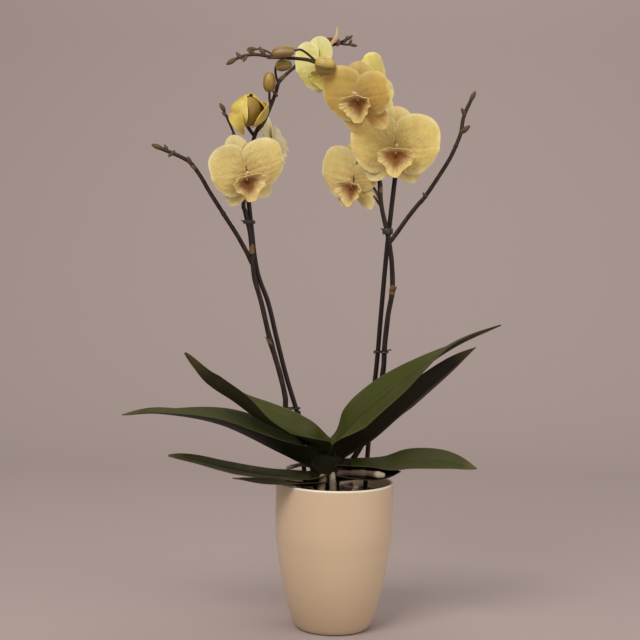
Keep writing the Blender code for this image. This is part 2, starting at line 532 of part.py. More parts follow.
# --- Assembly ---------------------------------------------------------------------------------------------
def clip(name, height, stake, spike, loop_radius=0.0009, prong=(0.005, 0.0, 0.002)):
    """A small wire-thin clip: an oval loop round stake and spike, with one short prong."""
    stake_at = point_at_height(stake, height)
    spike_at = point_at_height(spike, height)
    apart = spike_at - stake_at
    apart[2] = 0
    length = np.linalg.norm(apart)
    one, two = apart / length, np.cross((0, 0, 1.0), apart / length)
    middle, reach = (stake_at + spike_at) / 2, length / 2
    clearance = SPIKE_RADIUS + loop_radius + 3 * FIT_GAP
    angles = np.linspace(0, 2 * math.pi, 17)[:-1]
    ring = []
    for angle in angles:
        end = reach * np.sign(np.round(math.cos(angle), 6))
        ring.append(middle + one * (end + clearance * math.cos(angle)) + two * clearance * math.sin(angle))
    sides = 6
    points, faces = [], []
    for i, centre in enumerate(ring):
        outward = (centre - middle) / np.linalg.norm(centre - middle)
        for k in range(sides):
            a = 2 * math.pi * k / sides
            points.append(centre + loop_radius * (math.cos(a) * outward + 1.6 * math.sin(a) * np.array((0, 0, 1.0))))
    for i in range(len(ring)):
        j = (i + 1) % len(ring)
        for k in range(sides):
            m = (k + 1) % sides
            faces.append((i * sides + k, j * sides + k, j * sides + m, i * sides + m))
    loop = add_object(name, points, faces, CLIP_PLASTIC)
    root_point = middle + one * (reach + clearance)
    prong_line = [root_point, root_point + one * 0.3 * prong[0] + np.array((0, 0, 0.5 * prong[2])),
                  root_point + one * prong[0] + np.array((0, 0, prong[2]))]
    boolean(loop, cutter(tube(f"{name}_prong", prong_line, 0.0008, CLIP_PLASTIC)), "UNION")


def point_at_height(route, height):
    line = smooth_route(route, 400)
    return np.array([np.interp(height, line[:, 2], line[:, k]) for k in range(3)])


cover_pot()
nursery_pot()
bark = bark_fill()
crown_line = smooth_route(CROWN_ROUTE, 9)
crown_radii = np.interp(np.linspace(0, 1, 9), np.linspace(0, 1, 5), CROWN_RADII)
tube("crown", crown_line, crown_radii, CROWN_TISSUE, 12)
crown_room = tube("crown_room", crown_line, crown_radii + FIT_GAP, CROWN_TISSUE, 12)
boolean(bark, cutter(crown_room), "DIFFERENCE")
for leaf_name, shape in LEAVES.items():
    leaf(leaf_name, **shape)
for root_name, (root_radius, root_route) in ROOTS.items():
    root(root_name, root_radius, root_route)
    if min(point[2] for point in root_route) < BARK_TOP:
        room = root(f"{root_name}_room", root_radius + FIT_GAP, root_route)
        boolean(bark, cutter(room), "DIFFERENCE")
for stake_name, stake_route in STAKES.items():
    stake_line = smooth_route(stake_route, 14)
    tube(stake_name, stake_line, STAKE_RADIUS, STAKE_PLASTIC, 8)
    hole = tube(f"{stake_name}_hole", stake_line - np.array((0, 0, 0.001)), STAKE_RADIUS + FIT_GAP, BARK, 8)
    boolean(bark, cutter(hole), "DIFFERENCE")
stalks = {f"{key}_stalk": flower_stalk(FLOWERS[key], *FLOWER_STALKS[key]) for key in FLOWERS}
left_stalks = {f"{key}_stalk": stalks.pop(f"{key}_stalk") for key in LEFT_FLOWERS}
joined_spike("flower_spike_left", LEFT_SPIKE, LEFT_TWIGS, left_stalks)
joined_spike("flower_spike_right", RIGHT_SPIKE, RIGHT_TWIGS, stalks)
clip("clip_left_lower", 0.240, STAKES["stake_left"], LEFT_SPIKE)
clip("clip_left_upper", 0.4445, STAKES["stake_left"], LEFT_SPIKE)
clip("clip_right_lower", 0.3045, STAKES["stake_right"], RIGHT_SPIKE)
clip("clip_right_upper", 0.438, STAKES["stake_right"], RIGHT_SPIKE)
for flower_name, flower_shape in FLOWERS.items():
    open_flower(flower_name, **flower_shape)
for bud_name, (bud_base, bud_tip, bud_radius) in BUDS.items():
    pod(bud_name, bud_base, bud_tip, bud_radius, BUD_TISSUE)
half_open_flower("half_open_flower", *HALF_OPEN)
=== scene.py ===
"""Looks of a potted moth orchid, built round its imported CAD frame.

Metres, +Z up. The origin is the middle of the cover pot's underside, and the flowers look along -Y.
"""

import math

import bpy
import numpy as np
from mathutils import Matrix, Vector


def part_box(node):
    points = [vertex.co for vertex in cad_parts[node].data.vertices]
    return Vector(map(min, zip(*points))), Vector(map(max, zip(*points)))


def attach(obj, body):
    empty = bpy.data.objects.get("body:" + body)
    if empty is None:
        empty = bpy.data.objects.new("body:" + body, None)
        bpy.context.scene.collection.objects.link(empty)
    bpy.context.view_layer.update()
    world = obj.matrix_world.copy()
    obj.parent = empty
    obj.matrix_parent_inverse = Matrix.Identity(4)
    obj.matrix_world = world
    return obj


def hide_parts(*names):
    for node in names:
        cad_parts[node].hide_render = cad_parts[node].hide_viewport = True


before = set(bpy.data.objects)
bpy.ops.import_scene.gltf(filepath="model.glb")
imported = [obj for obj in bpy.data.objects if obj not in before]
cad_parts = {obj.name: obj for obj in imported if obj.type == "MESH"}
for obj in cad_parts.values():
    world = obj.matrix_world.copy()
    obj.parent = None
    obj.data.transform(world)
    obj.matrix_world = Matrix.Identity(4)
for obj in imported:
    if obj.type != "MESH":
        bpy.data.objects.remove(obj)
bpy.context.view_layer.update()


# === Cover pot =============================================================================================
# Slip-cast ceramic, dipped in a cream glaze that dries satin. One thin-walled body with a rolled rim, and a
# rounded foot with a flat, dry ring that it stands on.

SHARP = math.radians(60)             # an edge that bends more than this isn't shaded smooth


def mm(*values):
    """Numbers or points given in millimetres, as an array in metres."""
    return np.array(values) / 1000


def quads(rows, columns, around=False, first=0):
    """Faces (a, a + row, b + row, b) between neighbours of a grid of points, a row at a time."""
    spans = columns if around else columns - 1
    row, column = np.meshgrid(np.arange(rows - 1), np.arange(spans), indexing="ij")
    a = first + row * columns + column
    b = first + row * columns + (column + 1) % columns
    return np.stack([a, a + columns, b + columns, b], axis=2).reshape(-1, 4)


def capped(rows, steps):
    """Faces of rings of points, a fan to a pole at each end; the two poles come after the rings."""
    j = np.arange(steps)
    k = (j + 1) % steps
    last = (rows - 1) * steps
    first_fan = np.stack([np.full(steps, rows * steps), j, k], axis=1)
    last_fan = np.stack([np.full(steps, rows * steps + 1), last + k, last + j], axis=1)
    return [quads(rows, steps, around=True), first_fan, last_fan]


def add_piece(name, parts, material, nodes=()):
    """One object from parts, each (points, [face arrays], {attribute: one value or vector a point})."""
    points, faces, start = [], [], 0
    for part_points, part_faces, _ in parts:
        points.append(np.reshape(part_points, (-1, 3)))
        faces += [face for array in part_faces for face in (array + start).tolist()]
        start += len(points[-1])
    mesh = bpy.data.meshes.new(name)
    mesh.from_pydata(np.concatenate(points), [], faces)
    kinds = {key: np.ndim(value) for _, _, extra in parts for key, value in extra.items()}
    for key, dimensions in kinds.items():
        width = 3 if dimensions == 2 else 1
        values = []
        for block, (_, _, extra) in zip(points, parts):
            given = extra.get(key, np.zeros((len(block), width)))
            values.append(np.broadcast_to(np.reshape(given, (-1, width)), (len(block), width)))
        layer = mesh.attributes.new(key, "FLOAT_VECTOR" if width == 3 else "FLOAT", "POINT")
        layer.data.foreach_set("vector" if width == 3 else "value", np.concatenate(values).ravel())
    mesh.materials.append(material)
    mesh.shade_smooth()
    mesh.set_sharp_from_angle(angle=SHARP)
    made = bpy.data.objects.new(name, mesh)
    bpy.context.scene.collection.objects.link(made)
    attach(made, "root")
    if nodes:
        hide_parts(*nodes)
    return made


def turned(profile, steps):
    """A profile of (radius, height), run down its outer side, carried round the Z axis; its ends lie on it."""
    radius, height = np.array(profile).T
    angle = np.arange(steps) * 2 * math.pi / steps
    ring = np.stack([np.outer(radius, np.cos(angle)), np.outer(radius, np.sin(angle)),
                     np.outer(height, np.ones(steps))], axis=2)[1:-1]
    poles = np.array([[0, 0, height[0]], [0, 0, height[-1]]])
    return np.concatenate([ring.reshape(-1, 3), poles]), capped(len(ring), steps), {}


class Value:
    """A wire that carries a number or a colour. Arithmetic on it adds Math nodes."""

    def __init__(self, finish, socket):
        self.finish = finish
        self.socket = socket

    def maths(self, operation, *terms):
        return self.finish.node("Math", {"operation": operation}, dict(enumerate(terms)))

    def __add__(self, other):
        return self.maths("ADD", self, other)

    def __sub__(self, other):
        return self.maths("SUBTRACT", self, other)

    def __rsub__(self, other):
        return self.maths("SUBTRACT", other, self)

    def __mul__(self, other):
        return self.maths("MULTIPLY", self, other)

    def __pow__(self, other):
        return self.maths("POWER", self, other)

    __radd__ = __add__
    __rmul__ = __mul__


class Finish:
    """A Principled material and the nodes that feed it."""

    def __init__(self, name, **constants):
        self.material = bpy.data.materials.new(name)
        self.material.use_nodes = True
        self.tree = self.material.node_tree
        self.shader = self.tree.nodes["Principled BSDF"]
        for socket, value in constants.items():
            self.shader.inputs[socket.replace("_", " ")].default_value = value

    def feed(self, socket, value):
        if isinstance(value, Value):
            self.tree.links.new(value.socket, socket)
        elif getattr(socket, "type", "") == "RGBA":
            socket.default_value = (*value, 1.0)
        else:
            socket.default_value = value

    def node(self, kind, settings=None, sockets=None, out=0):
        """Any node: its settings first, a ramp's stops as (place, colour), then its sockets' values or links."""
        made = self.tree.nodes.new("ShaderNode" + kind)
        for key, value in (settings or {}).items():
            if key == "stops":
                ramp = made.color_ramp.elements
                while len(ramp) < len(value):
                    ramp.new(1.0)
                for element, (place, colour) in zip(ramp, value):
                    element.position = place
                    element.color = (*colour, 1.0)
            else:
                setattr(made, key, value)
        for key, value in (sockets or {}).items():
            self.feed(made.inputs[key], value)
        return Value(self, made.outputs[out])

    def place(self):
        """Object coordinates, which are metres in the part's own frame."""
        return self.node("TexCoord", out=3)

    def height(self):
        return self.node("SeparateXYZ", {}, {0: self.place()}, out=2)

    def attribute(self, name, out=2):
        return self.node("Attribute", {"attribute_name": name}, out=out)

    def noise(self, scale, detail=3.0, roughness=0.5, vector=None, distortion=0.0):
        return self.node("TexNoise", {}, {"Vector": vector or self.place(), "Scale": scale, "Detail": detail,
                                          "Roughness": roughness, "Distortion": distortion})

    def stretched(self, vector, scale):
        return self.node("VectorMath", {"operation": "MULTIPLY"}, {0: vector, 1: scale})

    def step(self, value, low, high):
        """0 below low, 1 above high, smooth between; low may be the greater."""
        return self.node("MapRange", {"interpolation_type": "SMOOTHSTEP"},
                         {"Value": value, "From Min": low, "From Max": high})

    def mix(self, share, one, other, blend="MIX"):
        return self.node("Mix", {"data_type": "RGBA", "blend_type": blend}, {0: share, 6: one, 7: other}, out=2)

    def ramp(self, value, *stops):
        return self.node("ValToRGB", {"stops": stops}, {0: value})

    def bump(self, height, depth, strength=1.0):
        """Height of 0 to 1, worth `depth` metres."""
        self.feed(self.shader.inputs["Normal"],
                  self.node("Bump", {}, {"Height": height, "Distance": depth, "Strength": strength}))

    def paint(self, **sockets):
        for socket, value in sockets.items():
            self.feed(self.shader.inputs[socket.replace("_", " ")], value)


pot_top_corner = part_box("cover_pot")[1]
POT_RIM_RADIUS = pot_top_corner[0]
POT_HEIGHT = pot_top_corner[2]
POT_WALL = 0.0035
POT_FLOOR = 0.005
pot_side = mm(
    (64.5, 146), (64.2, 110), (62.2, 90), (59, 68), (54.8, 46), (50.5, 28), (46.8, 16), (42.8, 6),
    (39.5, 1.5), (35.5, 0))


def smooth_route(points, count):
    """A Catmull-Rom curve: cubics whose slope at each point is half the step between that point's neighbours."""
    given = np.asarray(points, float)
    ends = np.vstack([2 * given[0] - given[1], given, 2 * given[-1] - given[-2]])
    position = np.linspace(0, len(given) - 1, count)
    start = np.minimum(position.astype(int), len(given) - 2)
    f = (position - start)[:, None]
    a, b, c, d = ends[start], ends[start + 1], ends[start + 2], ends[start + 3]
    return 0.5 * (2 * b + (c - a) * f + (2 * a - 5 * b + 4 * c - d) * f**2 + (3 * b - a - 3 * c + d) * f**3)


rim_round = POT_WALL / 2
rim_angle = np.radians(np.linspace(-95, 95, 15))
rim = np.stack([POT_RIM_RADIUS - rim_round + rim_round * np.sin(rim_angle),
                POT_HEIGHT - rim_round + rim_round * np.cos(rim_angle)], axis=1)
outside = smooth_route(pot_side, 70)
inside = outside[outside[:, 1] > 2 * POT_FLOOR][::-1] - (POT_WALL, 0)
FOOT_RECESS = 0.0006
pot_profile = np.vstack([(0, POT_FLOOR), (0.036, POT_FLOOR), inside, rim, outside, (0.033, FOOT_RECESS),
                         (0, FOOT_RECESS)])

glaze = Finish("cream_glaze", Coat_Weight=0.35, Coat_Roughness=0.24)
cloud = glaze.noise(14.0, 4.0)
speck = glaze.noise(900.0, 1.0)
dust = glaze.step(glaze.noise(260.0, 5.0, 0.65), 0.56, 0.74)
height = glaze.height()
body = glaze.mix(cloud, (0.635, 0.475, 0.315), (0.69, 0.525, 0.360))
body = glaze.mix(dust * 0.22, body, (0.52, 0.37, 0.235))
# Painted shade: the glaze darkens from 85 mm down towards the foot.
body = glaze.mix(glaze.step(height, 0.085, 0.005) * 0.75, body, (0.52, 0.375, 0.240))
lit_rim = glaze.step(height, POT_HEIGHT - 0.0026, POT_HEIGHT - 0.0008)
body = glaze.mix(lit_rim * 0.85, body, (0.86, 0.77, 0.64))
bare_foot = glaze.step(height, 0.0022, 0.0004)
glaze.paint(Base_Color=glaze.mix(bare_foot, body, (0.55, 0.42, 0.30)),
            Roughness=0.34 + cloud * 0.10 + dust * 0.08 + bare_foot * 0.3)
glaze.bump(glaze.noise(70.0, 2.0) + speck * 0.12, 0.0004, 0.5)
add_piece("cover_pot_body", [turned(pot_profile, 160)], glaze.material, ["cover_pot"])


# === Nursery pot ===========================================================================================
# Clear blown plastic pot in which the plant was grown. It stands loose in the cover pot, and only its
# turned-out rim is seen.
NURSERY_WALL = 0.0011
NURSERY_FLOOR = 0.0054
nursery_outside = mm((57.5, 150), (57.6, 148), (56.2, 147.4), (55.6, 144), (46.5, 60), (36.5, 7.6), (34.5, 5.4))
nursery_inside = mm((35, 7.5), (45.5, 60), (54.5, 144), (55.2, 147.4), (56.4, 150))
clear = Finish("clear_plastic", Transmission_Weight=0.75, IOR=1.48)
scuffs = clear.noise(160.0, 5.0, 0.7)
clear.paint(Base_Color=clear.mix(scuffs, (0.62, 0.60, 0.55), (0.82, 0.81, 0.78)),
            Roughness=0.12 + scuffs * 0.3)
clear.bump(clear.noise(90.0, 2.0), 0.0006, 0.4)
nursery_profile = ((0, NURSERY_FLOOR + NURSERY_WALL), *nursery_inside, *nursery_outside, (0, NURSERY_FLOOR))
add_piece("nursery_pot_shell", [turned(nursery_profile, 96)], clear.material,
          ["nursery_pot"])


# === Potting bark ==========================================================================================
# Coarse pine bark, packed round the roots and up to a finger below the rim. Loose chips lie over it at all
# angles, dark and damp, with paler broken faces.
BARK_TOP = 0.1475
BARK_FOOT = 0.0095
BARK_RADIUS = 0.0540
BARK_STEPS, BARK_RINGS = 96, 16
CHIPS = 420
CHIP_CORNERS = 7
CHIP_RADIUS = 0.0072
rng = np.random.default_rng(20)

bark_angle = np.arange(BARK_STEPS) * 2 * math.pi / BARK_STEPS
bark_ring = np.linspace(0.06, 1.0, BARK_RINGS)[:, None]
lumps = 0.0014 * np.sin(5 * bark_angle + 9 * bark_ring) + 0.0010 * np.cos(11 * bark_angle - 14 * bark_ring)
mound = np.stack([BARK_RADIUS * bark_ring * np.cos(bark_angle), BARK_RADIUS * bark_ring * np.sin(bark_angle),
                  BARK_TOP - 0.0012 + lumps], axis=2)
plug_foot = mound[-1:] * (0.63, 0.63, 0) + (0, 0, BARK_FOOT)
plug_points = np.concatenate([mound.reshape(-1, 3), plug_foot.reshape(-1, 3),
                              [(0, 0, BARK_TOP - 0.001), (0, 0, BARK_FOOT)]])
plug = (plug_points, capped(BARK_RINGS + 1, BARK_STEPS), {"shade": np.full(len(plug_points), 0.12)})


def rotations(count, tilt):
    """Turning matrices [count, 3, 3]: a lean about a level axis, spread by `tilt` radians, and any turn about Z."""
    turn = rng.uniform(0, 2 * math.pi, count)
    lean = rng.normal(0, tilt, count)
    axis = rng.uniform(0, 2 * math.pi, count)
    x, y, zero = np.cos(axis), np.sin(axis), np.zeros(count)
    c, s = np.cos(lean), np.sin(lean)
    leaning = np.array([[c + x * x * (1 - c), x * y * (1 - c), y * s],
                        [x * y * (1 - c), c + y * y * (1 - c), -x * s],
                        [-y * s, x * s, c]]).transpose(2, 0, 1)
    c, s = np.cos(turn), np.sin(turn)
    turning = np.array([[c, -s, zero], [s, c, zero], [zero, zero, zero + 1]]).transpose(2, 0, 1)
    return leaning @ turning


def chips(count):
    """Slabs with broken ends: two rings of jittered corners, each ring capped, turned and strewn over the mound."""
    n = CHIP_CORNERS
    corner = np.arange(n) * 2 * math.pi / n
    reach = rng.uniform(0.72, 1.12, (count, 2, n))
    size = rng.uniform(0.6, 1.25, (count, 1, 1)) * CHIP_RADIUS
    level = np.stack([-np.ones((count, n)), np.ones((count, n))], axis=1)
    lengthwise, crosswise = size * reach * np.cos(corner), 0.62 * size * reach * np.sin(corner)
    slab = np.stack([lengthwise, crosswise, level * size * 0.26], axis=3)
    slab[..., 2] += rng.normal(0, 0.00045, (count, 2, n))
    slab = slab.reshape(count, 2 * n, 3) @ rotations(count, 0.32).transpose(0, 2, 1)
    away = (BARK_RADIUS - 0.0065) * np.sqrt(rng.uniform(0, 1, count))
    round_about = rng.uniform(0, 2 * math.pi, count)
    lift = BARK_TOP + rng.uniform(-0.0022, 0.0030, count) * (away > 0.012) - 0.0005
    slab += np.stack([away * np.cos(round_about), away * np.sin(round_about), lift], axis=1)[:, None, :]
    k = np.arange(n)
    following = (k + 1) % n
    start = 2 * n * np.arange(count)[:, None, None]
    sides = (start + np.stack([k, following, following + n, k + n], axis=1)).reshape(-1, 4)
    tops = (start[:, 0] + np.arange(n, 2 * n)).reshape(-1, n)
    bases = (start[:, 0] + k[::-1]).reshape(-1, n)
    shade = np.repeat(rng.uniform(0, 1, count), 2 * n)
    return slab.reshape(-1, 3), [sides, tops, bases], {"shade": shade}


bark = Finish("pine_bark")
grain = bark.noise(420.0, 6.0, 0.7, bark.stretched(bark.place(), (1.0, 0.35, 1.6)))
tone = bark.attribute("shade")
damp = bark.noise(55.0, 2.0)
bark_colour = bark.mix(tone, (0.030, 0.017, 0.010), (0.135, 0.072, 0.036))
bark_colour = bark.mix(bark.step(grain, 0.45, 0.75) * 0.55, bark_colour, (0.22, 0.145, 0.085))
bark.paint(Base_Color=bark_colour, Roughness=0.62 + grain * 0.3 - bark.step(damp, 0.5, 0.7) * 0.25)
bark.bump(grain, 0.0011, 0.9)
bark_piece = add_piece("bark_chips", [plug, chips(CHIPS)], bark.material, ["potting_bark"])
bark_piece.data.shade_flat()


# === Crown =================================================================================================
# The short, hidden stem of the plant: a stack of old leaf bases, dark and ridged, from which leaves, roots
# and flower spikes grow.
CROWN_ROUTE = mm(
    (-4, 0, 136), (-4, -1, 150), (-5, -2, 168), (-6, -2, 184), (-6, -3, 196))
CROWN_RADII = (0.0075, 0.0088, 0.0095, 0.0098, 0.0062)


def square_to(route):
    """Two unit vectors square to the route at each point, taken from the axis that the route runs along least."""
    tangent = np.gradient(route, axis=0)
    tangent /= np.linalg.norm(tangent, axis=1, keepdims=True)
    choices = np.array(((1.0, 0, 0), (0, 1.0, 0), (0, 0, 1.0), (0.58, 0.58, 0.58), (0.58, -0.58, 0.58)))
    axis = choices[np.abs(tangent @ choices.T).max(axis=0).argmin()]
    side = np.cross(axis, tangent)
    side /= np.linalg.norm(side, axis=1, keepdims=True)
    return tangent, side, np.cross(tangent, side)


def limb(route, radii, sides=20, squash=1.0, lobes=0.0, lobe_count=3, tag=0.0):
    """A round-ended tube: rings of the given radii square to a route, with a quarter-round of rings at each end.

    squash flattens the section one way, and lobes swells it lobe_count times round. The attribute `along` runs
    from 0 to 1 and `edge` is the lobing, from -1 to 1."""
    route = np.asarray(route, float)
    radii = np.broadcast_to(np.asarray(radii, float), len(route))
    tangent, side, other = square_to(route)
    dome = np.radians((82, 60, 30))
    rows = [np.full(3, 0), np.arange(len(route)), np.full(3, len(route) - 1)]
    row = np.concatenate(rows)
    shrink = np.concatenate([np.cos(dome), np.ones(len(route)), np.cos(dome[::-1])])
    push = np.concatenate([-np.sin(dome), np.zeros(len(route)), np.sin(dome[::-1])]) * radii[row]
    centre = route[row] + tangent[row] * push[:, None]
    angle = np.arange(sides) * 2 * math.pi / sides
    edge = np.cos(lobe_count * angle)
    reach = (radii[row] * shrink)[:, None] * (1 + lobes * edge)
    rings = (centre[:, None, :] + (reach * np.cos(angle))[..., None] * side[row][:, None, :]
             + (squash * reach * np.sin(angle))[..., None] * other[row][:, None, :])
    poles = route[[0, -1]] + tangent[[0, -1]] * (radii[[0, -1]] * (-1, 1))[:, None]
    count = len(row)
    points = np.concatenate([rings.reshape(-1, 3), poles])
    extra = {"along": np.append(np.repeat(np.linspace(0, 1, count), sides), (0, 1)),
             "edge": np.append(np.tile(edge, count), (0, 0)), "tag": np.full(len(points), tag)}
    return points, [faces[:, ::-1] for faces in capped(count, sides)], extra


crown_line = smooth_route(CROWN_ROUTE, 60)
crown_place = np.linspace(0, 1, 60)
crown_girth = np.interp(crown_place, np.linspace(0, 1, 5), CROWN_RADII)
crown_girth = crown_girth * (1 + 0.035 * np.sin(crown_place * 46))
crown = Finish("old_leaf_bases", Specular_IOR_Level=0.08)
fibre = crown.noise(300.0, 5.0, 0.6, crown.stretched(crown.place(), (1.0, 1.0, 0.15)))
crown.paint(Base_Color=crown.mix(fibre, (0.004, 0.004, 0.002), (0.018, 0.016, 0.006)),
            Roughness=0.62 + fibre * 0.3)
crown.bump(fibre, 0.0008, 0.8)
SHEATH_ROWS = 30
trunk_line = smooth_route(mm((-13, -8, 157), (-12.5, -9, 166), (-11, -8, 178), (-10, -6.5, 187)), SHEATH_ROWS)
sheaths = [limb(trunk_line, np.linspace(0.0052, 0.0092, SHEATH_ROWS), 36, squash=2.1, lobes=0.05, lobe_count=5)]
sheath_girth = np.interp(np.linspace(0, 1, SHEATH_ROWS), (0, 0.3, 1), (1.25, 1.15, 0.75))
for reach, depth, top, thick in mm((-23.5, -9, 180, 6.2), (12.5, -8, 184, 6), (-15, -7, 188, 5.8),
                                   (-21.5, -8, 170, 4.8)):
    foot = mm(-4, -5, 156)
    halfway = (foot[0] + 0.3 * (reach - foot[0]), depth, foot[2] + 0.5 * (top - foot[2]))
    clasp = smooth_route((foot, halfway, (reach, depth - 0.002, top)), SHEATH_ROWS)
    sheaths.append(limb(clasp, thick * sheath_girth, 24, lobes=0.05))
add_piece("crown_stem", [limb(crown_line, crown_girth, 40, lobes=0.05, lobe_count=5), *sheaths], crown.material,
          ["crown"])


# === Leaves ================================================================================================
# Thick, leathery strap leaves in two ranks. Each clasps the crown, folds along its midrib into a shallow
# channel and arches out; the upper side is a dark olive green, and the underside is flushed purple-brown.

# The points the keel follows, the half width, and the roll and fold of the blade in degrees from base to tip.
# Roll lifts the edge that is further back; fold lifts both edges into the channel.
LEAVES = {
    "leaf_left_upper": dict(
        keel=mm((-5, -2, 183), (-15, -6, 197.5), (-34, -15, 211), (-80, -22, 232), (-110, -28, 253),
        (-141, -32, 274), (-163, -36, 304)),
        half_width=0.025, roll=(20, 26, 36, 2, -24, -22), fold=(60, 52, 37, 30, 28, 14)),
    "leaf_left_middle": dict(
        keel=mm((-6, 0, 174), (-17.5, -3, 183), (-34, -9, 184), (-60, -12, 196), (-125, -11, 225),
        (-190, -8, 235), (-234, -6, 232)),
        half_width=0.028, roll=(-12, -10, -2, 10, 3, 12), fold=(62, 58, 48, 34, 10, 12)),
    "leaf_left_lower": dict(
        keel=mm((-7, -1, 168), (-16.5, -8, 166.5), (-40, -14, 167.2), (-70, -18, 169.5), (-110, -22, 176),
        (-150, -26, 186), (-180, -30, 192)),
        half_width=0.02, roll=(0, 1, 4, 9, 13, 10, 8), fold=(46, 14, 8, 8, 12)),
    "leaf_left_lowest": dict(
        keel=mm((-7, -6, 160), (-15, -12.5, 161), (-34, -29, 163.2), (-52, -42, 166.8), (-80, -52, 169.5),
        (-109, -56, 173.5)),
        half_width=0.012, roll=(0, 0, 4, 4), fold=(40, 12, 8, 8)),
    "leaf_right_upper": dict(
        keel=mm((-5, -2, 188), (3.5, -6, 201.5), (17, -17, 227), (46, -26, 257), (86, -32, 289),
        (126, -36, 317), (173, -40, 340)),
        half_width=0.025, roll=(40, 46, 50, 28, 2, 4), fold=(56, 30, 12, 8, 10, 24)),
    "leaf_right_middle": dict(
        keel=mm((-4, -1, 176), (8.5, -4, 189.5), (40, -16, 213), (77, -22, 249), (120, -26, 289),
        (148, -28, 315)),
        half_width=0.026, roll=(-6, -22, -28, -28, -27, -28), fold=(60, 40, 28, 18, 16, 15)),
    "leaf_right_lower": dict(
        keel=mm((-3, -1, 170), (9, -3, 175.5), (30, -9, 177), (56, -9, 179), (82, -10, 187),
        (121, -12, 188), (154, -14, 181)),
        half_width=0.025, roll=(0, 2, 6, 16, 22, 23), fold=(52, 28, 20, 10, 9, 9)),
    "leaf_right_lowest": dict(
        keel=mm((-1, -4, 164), (9, -8, 166), (34, -12, 169.5), (56, -18, 174), (71, -20, 177.5)),
        half_width=0.017, roll=(0, 10, 18, 20), fold=(44, 20, 10, 6)),
}
LEAF_THICKNESS = 0.0022
LEAF_ROWS, LEAF_COLUMNS = 90, 33


def sheet(grid, thickness, facing, extra):
    """A closed thin solid on both sides of a grid: each side is the grid moved half its thickness along the normal.

    facing holds a rough outward direction for each point; the side that looks that way has the attribute
    `face` at 1, the other at 0. extra holds values for each grid point, given to both sides."""
    grid = np.asarray(grid, float)
    normal = np.cross(np.gradient(grid, axis=0), np.gradient(grid, axis=1))
    normal /= np.maximum(np.linalg.norm(normal, axis=2, keepdims=True), 1e-12)
    if (normal * facing).sum() < 0:
        grid, normal = grid[:, ::-1], -normal[:, ::-1]
        thickness = np.broadcast_to(thickness, grid.shape[:2])[:, ::-1]
        extra = {key: value[:, ::-1] for key, value in extra.items()}
    rows, columns = grid.shape[:2]
    half = 0.5 * np.broadcast_to(thickness, (rows, columns))[..., None]
    points = np.concatenate([(grid + normal * half).reshape(-1, 3), (grid - normal * half).reshape(-1, 3)])
    under = rows * columns
    top = quads(rows, columns)
    margin = np.concatenate([np.arange(rows) * columns, (rows - 1) * columns + np.arange(1, columns),
                             np.arange(rows - 2, -1, -1) * columns + columns - 1, np.arange(columns - 2, 0, -1)])
    following = np.roll(margin, -1)
    rim_faces = np.stack([margin, under + margin, under + following, following], axis=1)
    both = {key: np.tile(np.ravel(value), 2) for key, value in extra.items()}
    both["face"] = np.repeat((1.0, 0.0), under)
    return points, [top, (top + under)[:, ::-1], rim_faces], both


def leaf_blade(keel, half_width, roll, fold, phase):
    """A channelled blade on a Catmull-Rom keel: width swells to 0.55 of the length, then closes in a blunt tip."""
    t = np.linspace(0, 1, LEAF_ROWS) ** 0.92
    line = smooth_route(keel, 400)
    line = np.stack([np.interp(t, np.linspace(0, 1, 400), line[:, k]) for k in range(3)], axis=1)
    tangent = np.gradient(line, axis=0)
    tangent /= np.linalg.norm(tangent, axis=1, keepdims=True)
    back = np.cross((0.0, 0.0, 1.0), tangent)
    back /= np.linalg.norm(back, axis=1, keepdims=True)
    back *= np.sign(back[:, 1:2])
    up = np.cross(tangent, back)
    up *= np.sign(up[:, 2:3])
    turn = np.radians(np.interp(t, np.linspace(0, 1, len(roll)), roll))[:, None]
    lift = np.radians(np.interp(t, np.linspace(0, 1, len(fold)), fold))[:, None, None]
    side = back * np.cos(turn) + up * np.sin(turn)
    over = up * np.cos(turn) - back * np.sin(turn)
    v = np.linspace(-1, 1, LEAF_COLUMNS)[None, :]
    rise = 0.40 + 0.60 * np.sin(np.clip(t / 0.55, 0, 1) * math.pi / 2)
    beyond = np.clip((t - 0.55) / 0.45, 0, 1)
    width = np.maximum(half_width * rise * (1 - beyond**2) ** 0.75, 0.0006)[:, None]
    groove = -0.0013 * np.exp(-((v / 0.07) ** 2)) * (1 - t[:, None] ** 3)
    wave = 0.0011 * np.sin(9 * t[:, None] + phase + 1.5 * v) * v**2
    veins = 0.00010 * np.cos(17 * math.pi * v)
    sideways = width[..., None] * side[:, None, :] * (v[..., None] * np.cos(lift))
    upwards = over[:, None, :] * (width[..., None] * np.abs(v[..., None]) ** 1.25 * np.sin(lift)
                                  + (groove + wave + veins)[..., None])
    thick = LEAF_THICKNESS * (1 - 0.75 * np.abs(v) ** 2.5) * (1 - 0.6 * t[:, None] ** 4)
    across, along = v * np.ones_like(width), t[:, None] * np.ones_like(v)
    grid = line[:, None, :] + sideways + upwards
    return sheet(grid, thick, over[:, None, :], {"across": across, "along": along})


